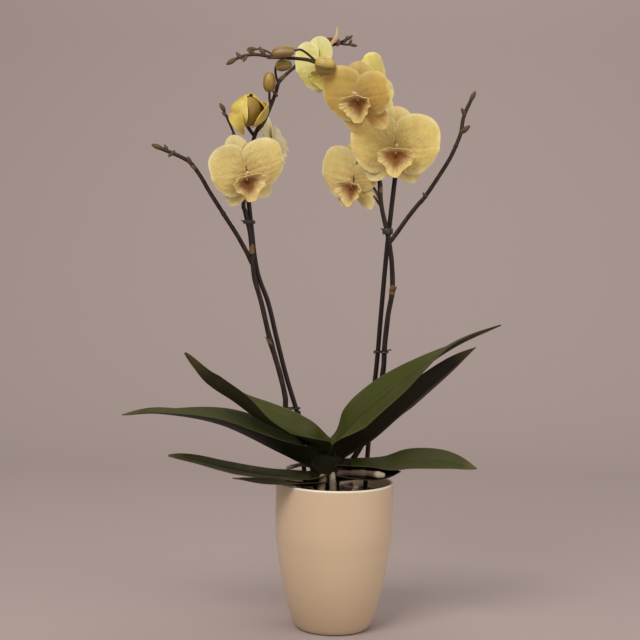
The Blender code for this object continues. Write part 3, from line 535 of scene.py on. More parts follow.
def leaf_finish(name, green, flush):
    """Olive green above with fine lengthwise veins and a dark midrib furrow; purple-brown flush beneath."""
    leaf = Finish(name, Specular_IOR_Level=0.15)
    across, along, face = leaf.attribute("across"), leaf.attribute("along"), leaf.attribute("face")
    lengthwise = leaf.node("CombineXYZ", {}, {0: across * 22.0, 1: along * 3.0, 2: face * 7.0})
    streak = leaf.noise(1.0, 4.0, 0.6, lengthwise)
    blotch = leaf.noise(34.0, 4.0, 0.55)
    upper = leaf.mix(leaf.step(streak, 0.35, 0.65), green, tuple(1.18 * c for c in green))
    upper = leaf.mix(leaf.step(blotch, 0.50, 0.75) * 0.35, upper, (0.105, 0.085, 0.030))
    midrib = leaf.node("Math", {"operation": "ABSOLUTE"}, {0: across})
    upper = leaf.mix(leaf.step(midrib, 0.07, 0.015) * 0.55, upper, (0.032, 0.036, 0.012))
    # Painted highlight: a paler brownish rim along both margins of the upper side.
    upper = leaf.mix(leaf.step(midrib, 0.93, 1.0) * 0.6, upper, (0.13, 0.10, 0.045))
    upper = leaf.mix(leaf.step(along, 0.90, 1.0) * 0.5, upper, (0.15, 0.115, 0.050))
    lower = leaf.mix(leaf.step(streak, 0.3, 0.7), flush, tuple(1.8 * c for c in flush))
    lower = leaf.mix(leaf.step(midrib, 0.10, 0.02) * 0.5, lower, (0.045, 0.038, 0.016))
    lower = leaf.mix(leaf.step(along, 0.82, 0.97) * 0.6, lower, (0.105, 0.078, 0.028))
    spots = leaf.step(leaf.noise(620.0, 2.0), 0.66, 0.74)
    colour = leaf.mix(spots * 0.25, leaf.mix(face, lower, upper), (0.15, 0.13, 0.08))
    leaf.paint(Base_Color=colour, Roughness=0.40 + blotch * 0.16 + (1 - face) * 0.08)
    leaf.bump(streak * 0.5 + leaf.noise(520.0, 3.0) * 0.3, 0.0004, 0.45)
    return leaf.material


# Each leaf's upper green. The lower leaves and the leaves that lie under others have darker greens: painted shade from
# the leaves above them.
leaf_greens_with_painted_shade = {
    "leaf_left_upper": (0.048, 0.054, 0.012), "leaf_left_middle": (0.050, 0.054, 0.015),
    "leaf_left_lower": (0.016, 0.017, 0.0030), "leaf_left_lowest": (0.012, 0.011, 0.004),
    "leaf_right_upper": (0.047, 0.054, 0.010), "leaf_right_middle": (0.034, 0.038, 0.009),
    "leaf_right_lower": (0.040, 0.044, 0.009), "leaf_right_lowest": (0.018, 0.013, 0.007),
}
for i, (leaf_name, shape) in enumerate(LEAVES.items()):
    flush = (0.017, 0.017, 0.006) if leaf_name == "leaf_left_upper" else (0.0075, 0.0065, 0.0028)
    skin = leaf_finish(f"{leaf_name}_skin", leaf_greens_with_painted_shade[leaf_name], flush)
    add_piece(f"{leaf_name}_blade", [leaf_blade(**shape, phase=1.9 * i)], skin, [leaf_name])


# === Air roots =============================================================================================
# Fleshy roots in a grey, papery skin that wrinkles as it dries, greener near the growing tip. Two dive into
# the bark at the front, one lies over the rim of the pot and ends in a pale, snapped end.
ROOTS = {
    "root_front_left": (0.0045, mm((-12, -11, 174), (-14, -15, 164), (-15, -17.5, 157), (-14.5, -19.5, 148),
    (-13, -20.5, 136), (-11, -20, 124))),
    "root_front_middle": (0.0037, mm((-3, -11, 174), (-2.5, -15, 166), (-2, -18.5, 157), (-3, -19.5, 147),
    (-4, -19, 134), (-2, -18, 124))),
    "root_front_right": (0.0034, mm((23.2, -15.8, 159), (22, -12, 154), (20, -8, 146), (18.5, -3, 134),
    (18, -2, 124))),
    "root_over_rim": (0.0034, mm((0, -9, 171), (6, -14, 173.5), (15, -21, 175), (28, -27, 176.5),
    (40, -29, 176), (51, -29, 175))),
    "root_behind_leaf": (0.0023, mm((-10, 6, 166), (-16, 8, 170), (-25, 10, 176), (-36, 10.5, 178),
    (-45, 10.5, 176), (-52, 10, 174))),
}


def velamen_finish(name, dark, light):
    """Patches of two tones, dark wrinkles, and a pale broken tip where `tag` is 1."""
    velamen = Finish(name)
    wrinkle = velamen.noise(380.0, 5.0, 0.65)
    patch = velamen.noise(75.0, 3.0)
    tip = velamen.step(velamen.attribute("along"), 0.78, 0.86) * velamen.attribute("tag")
    root_colour = velamen.mix(velamen.step(patch, 0.38, 0.66), dark, light)
    root_colour = velamen.mix(velamen.step(wrinkle, 0.58, 0.75) * 0.6, root_colour, (0.085, 0.052, 0.030))
    velamen.paint(Base_Color=velamen.mix(tip, root_colour, (0.42, 0.35, 0.26)), Roughness=0.62 + wrinkle * 0.25)
    velamen.bump(wrinkle * 0.7 + patch * 0.5, 0.0010, 0.8)
    return velamen.material


root_pale = velamen_finish("root_velamen", (0.13, 0.092, 0.060), (0.33, 0.27, 0.190))
root_brown = velamen_finish("old_root_velamen", (0.040, 0.022, 0.013), (0.100, 0.066, 0.040))
for i, (root_name, (radius, route)) in enumerate(ROOTS.items()):
    line = smooth_route(route, 70)
    place = np.linspace(0, 1, 70)
    girth = radius * (1 + 0.07 * np.sin(19 * place + i) + 0.05 * np.sin(43 * place + 2 * i))
    girth = girth * np.interp(place, (0, 0.12, 0.9, 1), (0.8, 1, 1, 0.9))
    cut_end = 1.0 if root_name == "root_over_rim" else 0.0
    skin = root_brown if root_name == "root_over_rim" else root_pale
    add_piece(f"{root_name}_skin", [limb(line, girth, 24, lobes=0.05, tag=cut_end)], skin,
              [root_name])


# === Stakes ================================================================================================
# Dark brown extruded plastic rods, pushed into the bark beside each spike, a little bowed by its pull.
STAKES = {
    "stake_left": mm((-21.5, 16.5, 60), (-40, 16.5, 222), (-42.9, 16.5, 235.1), (-55.9, 16.5, 276),
    (-66.9, 16.5, 317), (-76.7, 16.5, 355.4), (-87.7, 16.5, 384.1), (-92.8, 16.5, 407.9),
    (-95.8, 16.5, 431.9), (-98.8, 16.5, 455.7), (-101.6, 16.5, 479.5)),
    "stake_right": mm((30, 17.5, 60), (37.5, 17.5, 215), (44, 17.5, 289), (48, 17.5, 351), (53, 17.5, 422),
    (60.5, 17.5, 503)),
}
STAKE_RADIUS = 0.0026

stake_plastic = Finish("brown_stake_plastic", Specular_IOR_Level=0.28)
drawn = stake_plastic.noise(240.0, 3.0, 0.5, stake_plastic.stretched(stake_plastic.place(), (1.0, 1.0, 0.04)))
rubbed = stake_plastic.step(stake_plastic.noise(60.0, 4.0, 0.6), 0.55, 0.75)
stake_colour = stake_plastic.mix(drawn, (0.007, 0.0035, 0.003), (0.022, 0.011, 0.008))
stake_plastic.paint(Base_Color=stake_plastic.mix(rubbed * 0.3, stake_colour, (0.050, 0.030, 0.022)),
                    Roughness=0.38 + drawn * 0.15 + rubbed * 0.15)
stake_plastic.bump(drawn, 0.0003, 0.6)
for stake_name, route in STAKES.items():
    add_piece(f"{stake_name}_rod", [limb(smooth_route(route, 120), STAKE_RADIUS, 20)], stake_plastic.material,
              [stake_name])


# === Flower spikes =========================================================================================
# Each spike is one woody stem, dark brown and purplish, swollen at its joints, with a dry bract hugging each
# joint. Side branches, bud stalks and the paler flower stalks have grown out of it.
LEFT_SPIKE = mm(
    (-13.5, 8, 188), (-27, 9, 199), (-44, 9, 217), (-54.8, 9, 238.2), (-56.3, 9, 252.7), (-62, 9, 276.7),
    (-74.4, 9, 317.4), (-84, 9, 355.7), (-92.3, 9, 384.2), (-95.1, 9, 408.1), (-97.7, 9, 431.9),
    (-103.5, 9, 455.6), (-105.3, 9, 465), (-101.5, 9, 500), (-94, 8, 539), (-85, 8, 553), (-77, 9, 572),
    (-72, 10, 586), (-69, 12, 597), (-63, 22, 605), (-53, 32, 615.5), (-40, 35, 627), (-21, 33, 637),
    (-3, 30, 643), (4.5, 28, 646.5))
RIGHT_SPIKE = mm(
    (7, 12, 174), (19, 13, 184), (34, 11, 212), (45, 9, 250), (51, 9, 285), (52, 9, 312), (55, 9, 345),
    (59, 9, 372), (58, 9, 400), (55, 9, 422), (50.5, 9, 442), (45, 9, 466), (42.5, 9, 495), (43, 8, 528),
    (33, 5, 562), (16, 1, 589), (-3, -2, 607), (-19, -4, 615), (-38, -4, 619.5), (-56, -4, 621),
    (-76, -4, 622), (-94, -4, 624), (-108, -4, 622), (-118, -4, 617.5))
SPIKE_RADIUS = 0.0032

# Twigs: radius at the base, radius at the tip, route.
LEFT_TWIGS = (
    (0.0025, 0.0021, mm((-95.5, 9, 400), (-101.9, 9, 412.8), (-112.3, 9, 430.7), (-122, 9, 445.2),
    (-132.1, 9, 460.5), (-143.2, 9, 477.5), (-153.2, 9, 494.1), (-164.3, 9, 508), (-174.2, 9, 513.8),
    (-184, 9, 517.9), (-198.8, 9, 523.6))),
    (0.0014, 0.0011, mm((-102, 9, 503), (-110, 7, 524), (-118, 4, 543), (-124, 2, 556), (-128.5, 1, 566))),
    (0.002, 0.0018, mm((-94.5, 8, 538), (-98.5, 4, 543), (-102, 0, 548))),
    (0.0014, 0.0013, mm((-77, 9, 570.5), (-78.5, 5, 577), (-78.7, 1, 584.5))),
    (0.0014, 0.0013, mm((-69.5, 11.5, 595), (-72.5, 8, 605), (-72.5, 3, 612))),
    (0.0013, 0.0011, mm((-6, 30.5, 642.5), (2, 29, 641), (10, 28, 640.5))),
)
RIGHT_TWIGS = (
    (0.0025, 0.002, mm((53.4, 11, 423.3), (59.2, 11, 430.6), (75.2, 11, 453.8), (84.8, 11, 466.3),
    (92.7, 11, 475.7), (108, 11, 499.4), (118.9, 11, 517.9), (126.2, 11, 534.6), (130.2, 11, 546.6),
    (133, 11, 563.9), (141.2, 11, 583.5))),
    (0.0016, 0.0013, mm((45.5, 9, 464), (42, 7, 468), (39, 5, 472.2))),
    (0.0013, 0.0012, mm((-29, -4, 618), (-37, -8, 624.5), (-45, -12, 629), (-51.5, -14, 628.2))),
    (0.0017, 0.0016, mm((-40, -4, 619.5), (-38, -18, 618), (-29, -30, 613.5))),
    (0.0011, 0.0009, mm((-70, -4, 621.5), (-85, -4, 629), (-96, -4, 630))),
)
# Knobs: dormant buds and scars at joints and tips, each a middle, a direction and a length, in millimetres.
LEFT_KNOBS = (
    ((-198.5, 9, 523.8), (-1, 0, 0.35), 10.5), ((-190, 9, 522.2), (-0.5, 0, 1), 7),
    ((-183.5, 9, 518), (-0.6, -0.2, -0.6), 8), ((-164, 8, 508.5), (-0.4, -0.3, 1), 8.5),
    ((-161.5, 8, 504), (0.6, -0.3, -0.6), 8), ((-128.5, 1, 566), (-0.6, 0, 1), 9),
    ((-125.5, 1, 559), (-0.8, -0.2, 0.7), 7), ((-115, 5, 537), (-0.7, -0.2, 0.7), 7),
    ((6, 28, 647.5), (0.7, 0, 0.5), 7), ((3, 28, 645.5), (0.4, -0.3, 1), 6.5),
    ((10.5, 28, 640.5), (1, 0, -0.2), 7), ((7.5, 28, 642.5), (0.5, -0.2, 0.8), 6),
    ((-72, 7.5, 583), (-0.6, -0.5, 0.6), 7), ((-88.5, 6, 547), (0.7, -0.5, 0.5), 7.5),
)
RIGHT_KNOBS = (
    ((-118.5, -4, 617), (-0.8, 0, -0.5), 10), ((-111, -4, 621.5), (-0.7, 0, 0.8), 8),
    ((-104.5, -4.5, 621), (-0.4, -0.3, -0.8), 7.5), ((-98, -4, 626.5), (-0.9, 0, 0.5), 8),
    ((-86, -4, 626.5), (-0.6, 0.1, 0.8), 9.5), ((-96.5, -4, 630), (-1, 0, 0.1), 8),
    ((141.2, 11, 583.8), (0.5, 0, 1), 10), ((132.5, 10, 548), (0.9, -0.2, 0.7), 11.5),
    ((133, 10, 566.5), (-0.5, -0.2, 1), 8.5), ((38.8, 5, 472.5), (-0.7, -0.3, 0.8), 6),
    ((59, 7, 373), (0.7, -0.5, 0.6), 8.5), ((93, 10, 476.5), (-0.6, -0.3, 0.7), 6.5),
)
# Where each flower's stalk leaves its spike, and a point on its way.
FLOWER_STALKS = {
    "flower_right_front": mm((42.5, 9, 499), (52, 5, 519)),
    "flower_right_lower": mm((44.5, 9, 470), (34, 17, 488)),
    "flower_right_upper": mm((33, 5, 562), (32, -10, 574)),
    "flower_right_back": mm((26, 3, 574), (10.5, 23.5, 580.5)),
    "flower_top": mm((-3, -2, 607), (-4, 12, 613)),
    "flower_left_front": mm((-102, 9, 490), (-106, -1, 495)),
    "flower_left_back": mm((-98.5, 9, 516), (-94, 17, 525)),
}
LEFT_FLOWERS = ("flower_left_front", "flower_left_back")
# Each open flower: its middle, the length of a petal, and the way it looks: degrees turned to the right of -Y,
# degrees raised, and degrees leaned over clockwise. bend opens (-) or closes (+) the left and right petal,
# narrow is the share of the usual width that each has, and length the share of the usual length.
FLOWERS = {
    "flower_right_front": dict(middle=mm(57.5, -6, 525), petal=0.048, turned=0, raised=-7, leaned=2),
    "flower_right_lower": dict(middle=mm(16.6, 27, 493.7), petal=0.0432, turned=-40, raised=-8, leaned=6,
        bend=(0, -4), narrow=(1, 0.7), length=(1, 0.76)),
    "flower_right_upper": dict(middle=mm(20.5, -39, 576.2), petal=0.0465, turned=-38, raised=-16, leaned=0,
        narrow=(0.93, 0.85), length=(1, 0.86)),
    "flower_right_back": dict(middle=mm(31, 40, 590.6), petal=0.0426, turned=43, raised=5, leaned=80,
        narrow=(0.76, 0.85)),
    "flower_top": dict(middle=mm(-21.5, 18, 614.3), petal=0.034, turned=-40, raised=-10, leaned=-12,
        bend=(12, 0), narrow=(1.35, 0.74), length=(0.85, 0.5)),
    "flower_left_front": dict(middle=mm(-101, -25, 497), petal=0.0445, turned=28, raised=-7, leaned=-15,
        narrow=(0.97, 0.9), length=(0.96, 0.98)),
    "flower_left_back": dict(middle=mm(-78.1, 22, 529), petal=0.0373, turned=70, raised=10, leaned=20,
        narrow=(0.45, 0.9), length=(0.75, 1)),
}


def flower_axes(turned, raised, leaned):
    """(right, up, out) unit vectors of a flower: out is -Y turned about Z, then raised; the others lean about out."""
    a, p, r = np.radians((turned, raised, leaned))
    out = np.array((math.sin(a) * math.cos(p), -math.cos(a) * math.cos(p), math.sin(p)))
    level = np.array((math.cos(a), math.sin(a), 0.0))
    upright = np.cross(out, level)
    right = level * math.cos(r) - upright * math.sin(r)
    up = upright * math.cos(r) + level * math.sin(r)
    return np.array((right, up, out))


def knob(middle, direction, length):
    """A blunt little bud: a limb whose girth is a squared-off sine of its length."""
    way = np.array(direction) / np.linalg.norm(direction)
    length = mm(length)[0]
    place = np.linspace(0, 1, 12)[:, None]
    line = mm(*middle) + way * (place - 0.35) * length
    girth = 0.27 * length * np.sin(math.pi * (0.15 + 0.72 * place[:, 0])) ** 0.7
    return limb(line, girth, 10, lobes=0.07, tag=0.6)


def bract(route, place, radius):
    """A dry, pointed scale round half a joint: a cone patch whose width closes with a cosine towards its tip."""
    line = smooth_route(route, 400)
    at = int(place * 399)
    tangent, side, other = square_to(line)
    along = np.linspace(0, 1, 9)[:, None]
    across = np.linspace(-1, 1, 9)[None, :]
    angle = 1.9 * across * np.cos(0.47 * math.pi * along) + 1.2 * at
    reach = radius * (1.10 + 0.30 * along)
    ring = reach[..., None] * (np.cos(angle)[..., None] * side[at] + np.sin(angle)[..., None] * other[at])
    grid = line[at] + (0.0105 * along * np.ones_like(across))[..., None] * tangent[at] + ring
    points, faces, extra = sheet(grid, 0.0004, ring, {"along": along * np.ones_like(across)})
    return points, faces, {"along": extra["along"], "tag": np.full(len(points), 1.0)}


def jointed(route, thick, thin, joints, swelling=0.16, tag=0.0):
    """A stem that narrows evenly from base to tip and swells in a bell curve at each joint."""
    line = smooth_route(route, 16 * len(route))
    place = np.linspace(0, 1, len(line))
    bell = sum(np.exp(-(((place - joint) / 0.007) ** 2)) for joint in joints)
    ripple = 1 + 0.02 * np.sin(160 * place) + 0.015 * np.sin(61 * place)
    girth = (thick + (thin - thick) * place) * (1 + swelling * bell) * ripple
    return limb(line, girth, 18, lobes=0.03, tag=tag)


def whole_spike(route, twigs, knobs, flowers, joints):
    parts = [jointed(route, SPIKE_RADIUS, SPIKE_RADIUS * 0.5, joints)]
    radii = {joint: SPIKE_RADIUS * (1 - 0.5 * joint) for joint in joints}
    parts += [bract(route, joint, radii[joint]) for joint in joints]
    parts += [jointed(points, thick, thin, (0.35, 0.68)) for thick, thin, points in twigs]
    parts += [knob(*shape) for shape in knobs]
    for key in flowers:
        flower = FLOWERS[key]
        out = flower_axes(flower["turned"], flower["raised"], flower["leaned"])[2]
        middle = np.array(flower["middle"])
        stalk = (*FLOWER_STALKS[key], middle - 0.010 * out, middle + 0.0005 * out)
        parts.append(jointed(stalk, 0.0016, 0.0014, (), tag=0.35))
    return parts


stem = Finish("woody_stem", Specular_IOR_Level=0.28)
lengthwise = stem.noise(300.0, 5.0, 0.6, stem.stretched(stem.place(), (1.0, 1.0, 0.10)))
mottle = stem.noise(70.0, 4.0, 0.6)
pale, height = stem.attribute("tag"), stem.height()
stem_colour = stem.mix(stem.step(lengthwise, 0.35, 0.7), (0.007, 0.003, 0.002), (0.030, 0.015, 0.009))
stem_colour = stem.mix(stem.step(height, 0.40, 0.62) * 0.5, stem_colour, (0.060, 0.032, 0.018))
stem_colour = stem.mix(stem.step(mottle, 0.55, 0.75) * 0.35, stem_colour, (0.080, 0.040, 0.020))
stem_colour = stem.mix(pale, stem_colour, (0.15, 0.085, 0.035))
scar = stem.step(stem.noise(700.0, 2.0), 0.66, 0.74)
stem.paint(Base_Color=stem.mix(scar * 0.4, stem_colour, (0.20, 0.14, 0.08)), Roughness=0.42 + mottle * 0.2)
stem.bump(lengthwise * 0.8 + mottle * 0.5, 0.0006, 0.7)
add_piece("flower_spike_left_stem", whole_spike(LEFT_SPIKE, LEFT_TWIGS, LEFT_KNOBS, LEFT_FLOWERS,
                                                (0.10, 0.245, 0.38, 0.60, 0.76)),
          stem.material, ["flower_spike_left"])
add_piece("flower_spike_right_stem", whole_spike(RIGHT_SPIKE, RIGHT_TWIGS, RIGHT_KNOBS,
                                                 [key for key in FLOWERS if key not in LEFT_FLOWERS],
                                                 (0.10, 0.30, 0.50, 0.62, 0.86)),
          stem.material, ["flower_spike_right"])


# === Clips =================================================================================================
# Small dark spring clips of moulded plastic: a collar that snaps round spike and stake, with two short
# finger tabs that stand off to one side.
CLIP_LOOP = 0.0010


def route_at(route, height):
    line = smooth_route(route, 400)
    return np.array([np.interp(height, line[:, 2], line[:, k]) for k in range(3)])


def clip_parts(height, stake, spike, tall, tabs):
    """An oval collar round two rods: a rounded band on a stadium of points; its tabs are short tapered limbs."""
    ends = route_at(stake, height), route_at(spike, height)
    apart = (ends[1] - ends[0]) * (1, 1, 0)
    one = apart / np.linalg.norm(apart)
    two = np.cross((0, 0, 1.0), one)
    middle, reach = (ends[0] + ends[1]) / 2, np.linalg.norm(apart) / 2
    away = SPIKE_RADIUS + CLIP_LOOP * 0.9
    angle = np.linspace(0, 2 * math.pi, 57)[:-1]
    ring = middle + (np.tanh(6 * np.cos(angle)) * reach + away * np.cos(angle))[:, None] * one
    ring += (away * np.sin(angle))[:, None] * two
    outward = ring - middle
    outward /= np.linalg.norm(outward, axis=1, keepdims=True)
    turn = np.arange(12) * 2 * math.pi / 12
    band = ring[:, None, :] + CLIP_LOOP * np.cos(turn)[None, :, None] * outward[:, None, :]
    band = band + tall * np.tanh(1.6 * np.sin(turn))[None, :, None] * np.array((0, 0, 1.0))
    faces = quads(len(ring) + 1, 12, around=True) % (len(ring) * 12)
    parts = [(band, [faces], {})]
    for start, end in tabs:
        line = np.linspace(middle + start, middle + end, 10)
        parts.append(limb(line, np.linspace(0.0011, 0.0008, 10), 10, squash=0.7))
    return parts


clip_plastic = Finish("dark_clip_plastic", Coat_Weight=0.1)
moulding = clip_plastic.noise(400.0, 4.0, 0.6)
clip_plastic.paint(Base_Color=clip_plastic.mix(moulding, (0.010, 0.006, 0.005), (0.040, 0.027, 0.021)),
                   Roughness=0.34 + moulding * 0.25)
clip_plastic.bump(moulding, 0.0003, 0.6)
CLIPS = {                            # height, stake, spike, half the collar's height, tabs from start to end
    "clip_left_lower": (0.24, "stake_left", LEFT_SPIKE, 0.0011, [mm((6, 4, 0), (9.8, 3, 0.8))]),
    "clip_left_upper": (0.4445, "stake_left", LEFT_SPIKE, 0.0022,
                        [mm((-4, -4, 0), (-8, -5, 1.4)), mm((3, -2, 0), (6, -3, -0.8))]),
    "clip_right_lower": (0.3045, "stake_right", RIGHT_SPIKE, 0.001,
                         [mm((3, -4, 0.8), (10.5, -6, 3)), mm((-4, -2, 0), (-8, -3, -1))]),
    "clip_right_upper": (0.437, "stake_right", RIGHT_SPIKE, 0.0036, [mm((-4, -3, 1), (-7.5, -4, 2.8))]),
}
for clip_name, (clip_height, rod, spike, tall, tabs) in CLIPS.items():
    add_piece(f"{clip_name}_collar", clip_parts(clip_height, STAKES[rod], spike, tall, tabs),
              clip_plastic.material, [clip_name])


# === Flowers ===============================================================================================
# Seven moth orchids. Three narrow sepals stand behind two very broad petals, all thin, waxy and butter yellow
# with fine red-brown veins that fan out from the middle; their claws join under a stubby pale column.
PETAL_THICKNESS = 0.0006
PETAL_ROWS, PETAL_COLUMNS = 46, 35
SEPAL_STEPS, SEPAL_RINGS = 216, 18


def petal_blade(size, side, bend, narrow, phase, ruffle):
    """A broad blade that widens at once from its claw: its width is a power of a sine of the length, it domes
    forward, and its margin falls back and ripples. side is 1 for the petal on the right, -1 for the left."""
    t = ((1 - np.cos(np.linspace(0.30, math.pi, PETAL_ROWS))) / 2)[:, None]
    v = np.linspace(-1, 1, PETAL_COLUMNS)[None, :]
    spread = np.where(v > 0, np.maximum(np.sin(math.pi * t**0.72), 0.0) ** 0.27,
                      np.maximum(np.sin(math.pi * t**0.86), 0.0) ** 0.55)
    half = np.maximum(size * narrow * np.where(v > 0, 0.78, 0.60) * spread, 0.0005)
    edge = np.maximum(v**2, np.clip(t, 0, 1) ** 6)
    around = np.arctan2(v * spread, t)
    ripple = 0.016 * np.sin(5.5 * around + phase) * edge**2 + 0.009 * np.sin(15 * around + 2 * phase) * edge**3
    ripple = ripple * ruffle
    swell = 0.018 * np.sin(2.6 * v + 3.1 * t + phase) * spread
    furrow = -0.016 * np.exp(-((v / 0.05) ** 2)) * (1 - t) - 0.006 * np.cos(7.5 * v * math.pi) * spread * (1 - t)
    tip = -0.05 * t**5
    fall = np.where(v > 0, 0.03 + 0.07 * t, 0.09)
    forward = 0.0022 + size * ((0.17 + math.tan(math.radians(bend))) * t - 0.05 * t**2 - fall * v**2 * spread)
    forward = forward + size * (ripple + swell * 0.6 + furrow + tip) + 0.0004 * side
    along = size * (0.02 + 0.98 * t - 0.110 * np.maximum(v, 0) * (1 - t) ** 4)
    return np.stack([side * along, half * v + 0.13 * size * t, forward], axis=2), edge * np.ones_like(along)


# The length and half width, in petal lengths, and the direction of the two lower sepals and, usually, the upper.
LOWER_SEPALS = ((0.88, 0.28, -52), (0.88, 0.28, -128))
UPPER_SEPAL = (0.97, 0.43, 90)


def sepal_radius(theta, size, dorsal):
    """The outline of the three sepals: three ellipses that all pass through the flower's middle."""
    reach = np.full_like(theta, 0.13 * size)
    for length, half_width, direction in (dorsal, *LOWER_SEPALS):
        away = theta - math.radians(direction)
        c, s = np.cos(away), np.sin(away)
        b, a = half_width**2, (0.5 * length) ** 2
        reach = np.maximum(reach, size * length * b * np.maximum(c, 0) / (b * c**2 + a * s**2))
    return reach


def polar_sheet(local, thickness, extra):
    """A closed thin solid from rings of points, [rings, steps, 3]; their middle is a point on each side."""
    rings, steps = local.shape[:2]
    normal = np.cross(np.gradient(local, axis=0), np.roll(local, -1, axis=1) - np.roll(local, 1, axis=1))
    normal /= np.maximum(np.linalg.norm(normal, axis=2, keepdims=True), 1e-12)
    normal *= np.sign(normal[..., 2:].sum() + 1e-12)
    half = 0.5 * np.broadcast_to(thickness, (rings, steps))[..., None]
    middles = local[0].mean(axis=0) + 0.5 * np.mean(thickness) * np.array(((0, 0, 1.0), (0, 0, -1.0)))
    points = np.concatenate([(local + normal * half).reshape(-1, 3), (local - normal * half).reshape(-1, 3),
                             middles])
    under = rings * steps
    outer = quads(rings, steps, around=True)
    j, k = np.arange(steps), (np.arange(steps) + 1) % steps
    rim = (rings - 1) * steps
    rim_faces = np.stack([rim + j, under + rim + j, under + rim + k, rim + k], axis=1)
    cap = np.stack([np.full(steps, 2 * under), j, k], axis=1)
    base = np.stack([np.full(steps, 2 * under + 1), under + k, under + j], axis=1)
    values = {key: np.concatenate([value.ravel(), value.ravel(), [value[0, 0]] * 2]) for key, value in extra.items()}
    values["face"] = np.concatenate([np.ones(under), np.zeros(under), (1.0, 0.0)])
    return points, [outer, (outer + under)[:, ::-1], rim_faces, cap, base], values


def sepal_star(size, phase, dorsal):
    """Three sepals in one: rings scaled from the outline; a lobe cups along its midrib and curls back at its tip."""
    theta = np.radians(np.arange(SEPAL_STEPS) * 360.0 / SEPAL_STEPS)[None, :]
    share = (np.linspace(0.05, 1.0, SEPAL_RINGS) ** 0.9)[:, None]
    reach = sepal_radius(theta, size, dorsal) * share
    back = -0.065 * size * (reach / size) ** 1.5
    away = [np.abs(np.angle(np.exp(1j * (theta - math.radians(lobe[2]))))) for lobe in (dorsal, *LOWER_SEPALS)]
    away = np.min(away, axis=0)
    channel = -0.045 * size * np.exp(-((away / 0.09) ** 2)) * share * (1 - 0.6 * share)
    ripple = 0.012 * size * np.sin(5 * theta + phase + 4 * share) * share**3
    edge = share**1.6 * np.ones_like(theta)
    return np.stack([reach * np.cos(theta), reach * np.sin(theta), back + channel + ripple], axis=2), edge


def placed_flower(part, size, middle, axes):
    """Turns a part given as (right, up, out) into place, and keeps its shape, in petal lengths, as `local`."""
    points, faces, extra = part
    local = np.asarray(points).reshape(-1, 3)
    return np.asarray(middle) + local @ axes, faces, {**extra, "local": local / size}


def fan(finish, local, spacing, along):
    """(distance from the middle, lines that fan out from it): the lines are ridges of a noise in polar coordinates."""
    parts = {key: finish.node("SeparateXYZ", {}, {0: local}, out=key) for key in (0, 1)}
    radius = (parts[0] * parts[0] + parts[1] * parts[1]) ** 0.5
    angle = finish.node("Math", {"operation": "ARCTAN2"}, {0: parts[1], 1: finish.node(
        "Math", {"operation": "ABSOLUTE"}, {0: parts[0]})})
    side = finish.node("Math", {"operation": "SIGN"}, {0: parts[0]})
    polar = finish.node("CombineXYZ", {}, {0: angle * spacing, 1: radius * along, 2: side * 3.0})
    ridges = finish.node("Math", {"operation": "ABSOLUTE"}, {0: finish.noise(1.0, 2.5, 0.6, polar, 0.3) - 0.5})
    return radius, finish.step(ridges, 0.045, 0.004)


def tepal_finish(name, tint, margin, vein_share):
    """Butter yellow paling to a cream margin, veined; the middle is greener, and the back is duller and paler."""
    tepal = Finish(name, Subsurface_Weight=0.18, Subsurface_Scale=0.006, Sheen_Weight=0.12,
                   Specular_IOR_Level=0.32)
    radius, vein = fan(tepal, tepal.attribute("local", 1), 15.0, 3.2)
    _, fine = fan(tepal, tepal.attribute("local", 1), 34.0, 6.0)
    edge, face = tepal.attribute("edge"), tepal.attribute("face")
    cloud = tepal.noise(60.0, 4.0, 0.6)
    base = tepal.mix(tepal.step(cloud, 0.35, 0.70), tint, tuple(0.86 * c for c in tint))
    base = tepal.mix(tepal.step(edge, 0.45, 1.0) * 0.75, base, margin)
    base = tepal.mix(tepal.step(radius, 0.42, 0.10) * 0.40, base, (0.60, 0.36, 0.100))
    line = vein * tepal.step(radius, 1.05, 0.20) * vein_share
    base = tepal.mix(line, base, (0.46, 0.20, 0.080))
    base = tepal.mix(fine * 0.40 * vein_share, base, (0.56, 0.30, 0.120))
    freckle = tepal.step(tepal.noise(480.0, 2.0), 0.66, 0.76)
    base = tepal.mix(freckle * 0.14, base, (0.52, 0.30, 0.09))
    dull = tepal.mix(fine * 0.3, (0.72, 0.60, 0.25), (0.58, 0.42, 0.16))
    tepal.paint(Base_Color=tepal.mix(face, dull, base), Roughness=0.46 + cloud * 0.16)
    tepal.bump(vein * 0.5 + fine * 0.25 + cloud * 0.4, 0.00035, 0.7)
    return tepal.material


TEPAL_COLOURS_WITH_PAINTED_SHADE = {                      # blade colour, margin colour, how strongly the veins show
    "flower_right_front": ((0.83, 0.640, 0.205), (0.92, 0.79, 0.41), 0.75),
    "flower_right_lower": ((0.82, 0.660, 0.250), (0.90, 0.78, 0.43), 0.65),
    # Painted shade: flower_right_upper's deeper blade and margin colours are partly its own deeper yellow and partly
    # the shade it hangs in.
    "flower_right_upper": ((0.63, 0.450, 0.100), (0.82, 0.66, 0.27), 0.60),
    "flower_right_back": ((0.84, 0.680, 0.190), (0.88, 0.75, 0.32), 0.18),
    "flower_top": ((0.93, 0.830, 0.300), (0.95, 0.90, 0.52), 0.15),
    "flower_left_front": ((0.81, 0.630, 0.225), (0.91, 0.78, 0.44), 0.65),
    "flower_left_back": ((0.93, 0.800, 0.460), (0.95, 0.88, 0.62), 0.30),
}
RUFFLES = {"flower_left_back": 2.6, "flower_top": 1.5}
UPPER_SEPALS = {"flower_right_upper": (0.84, 0.42, 90), "flower_top": (1.0, 0.54, 90),
                "flower_left_front": (0.96, 0.34, 103), "flower_right_back": (0.98, 0.36, 90)}
tepal_materials = {key: tepal_finish(f"{key}_tepals", *tint) for key, tint in TEPAL_COLOURS_WITH_PAINTED_SHADE.items()}
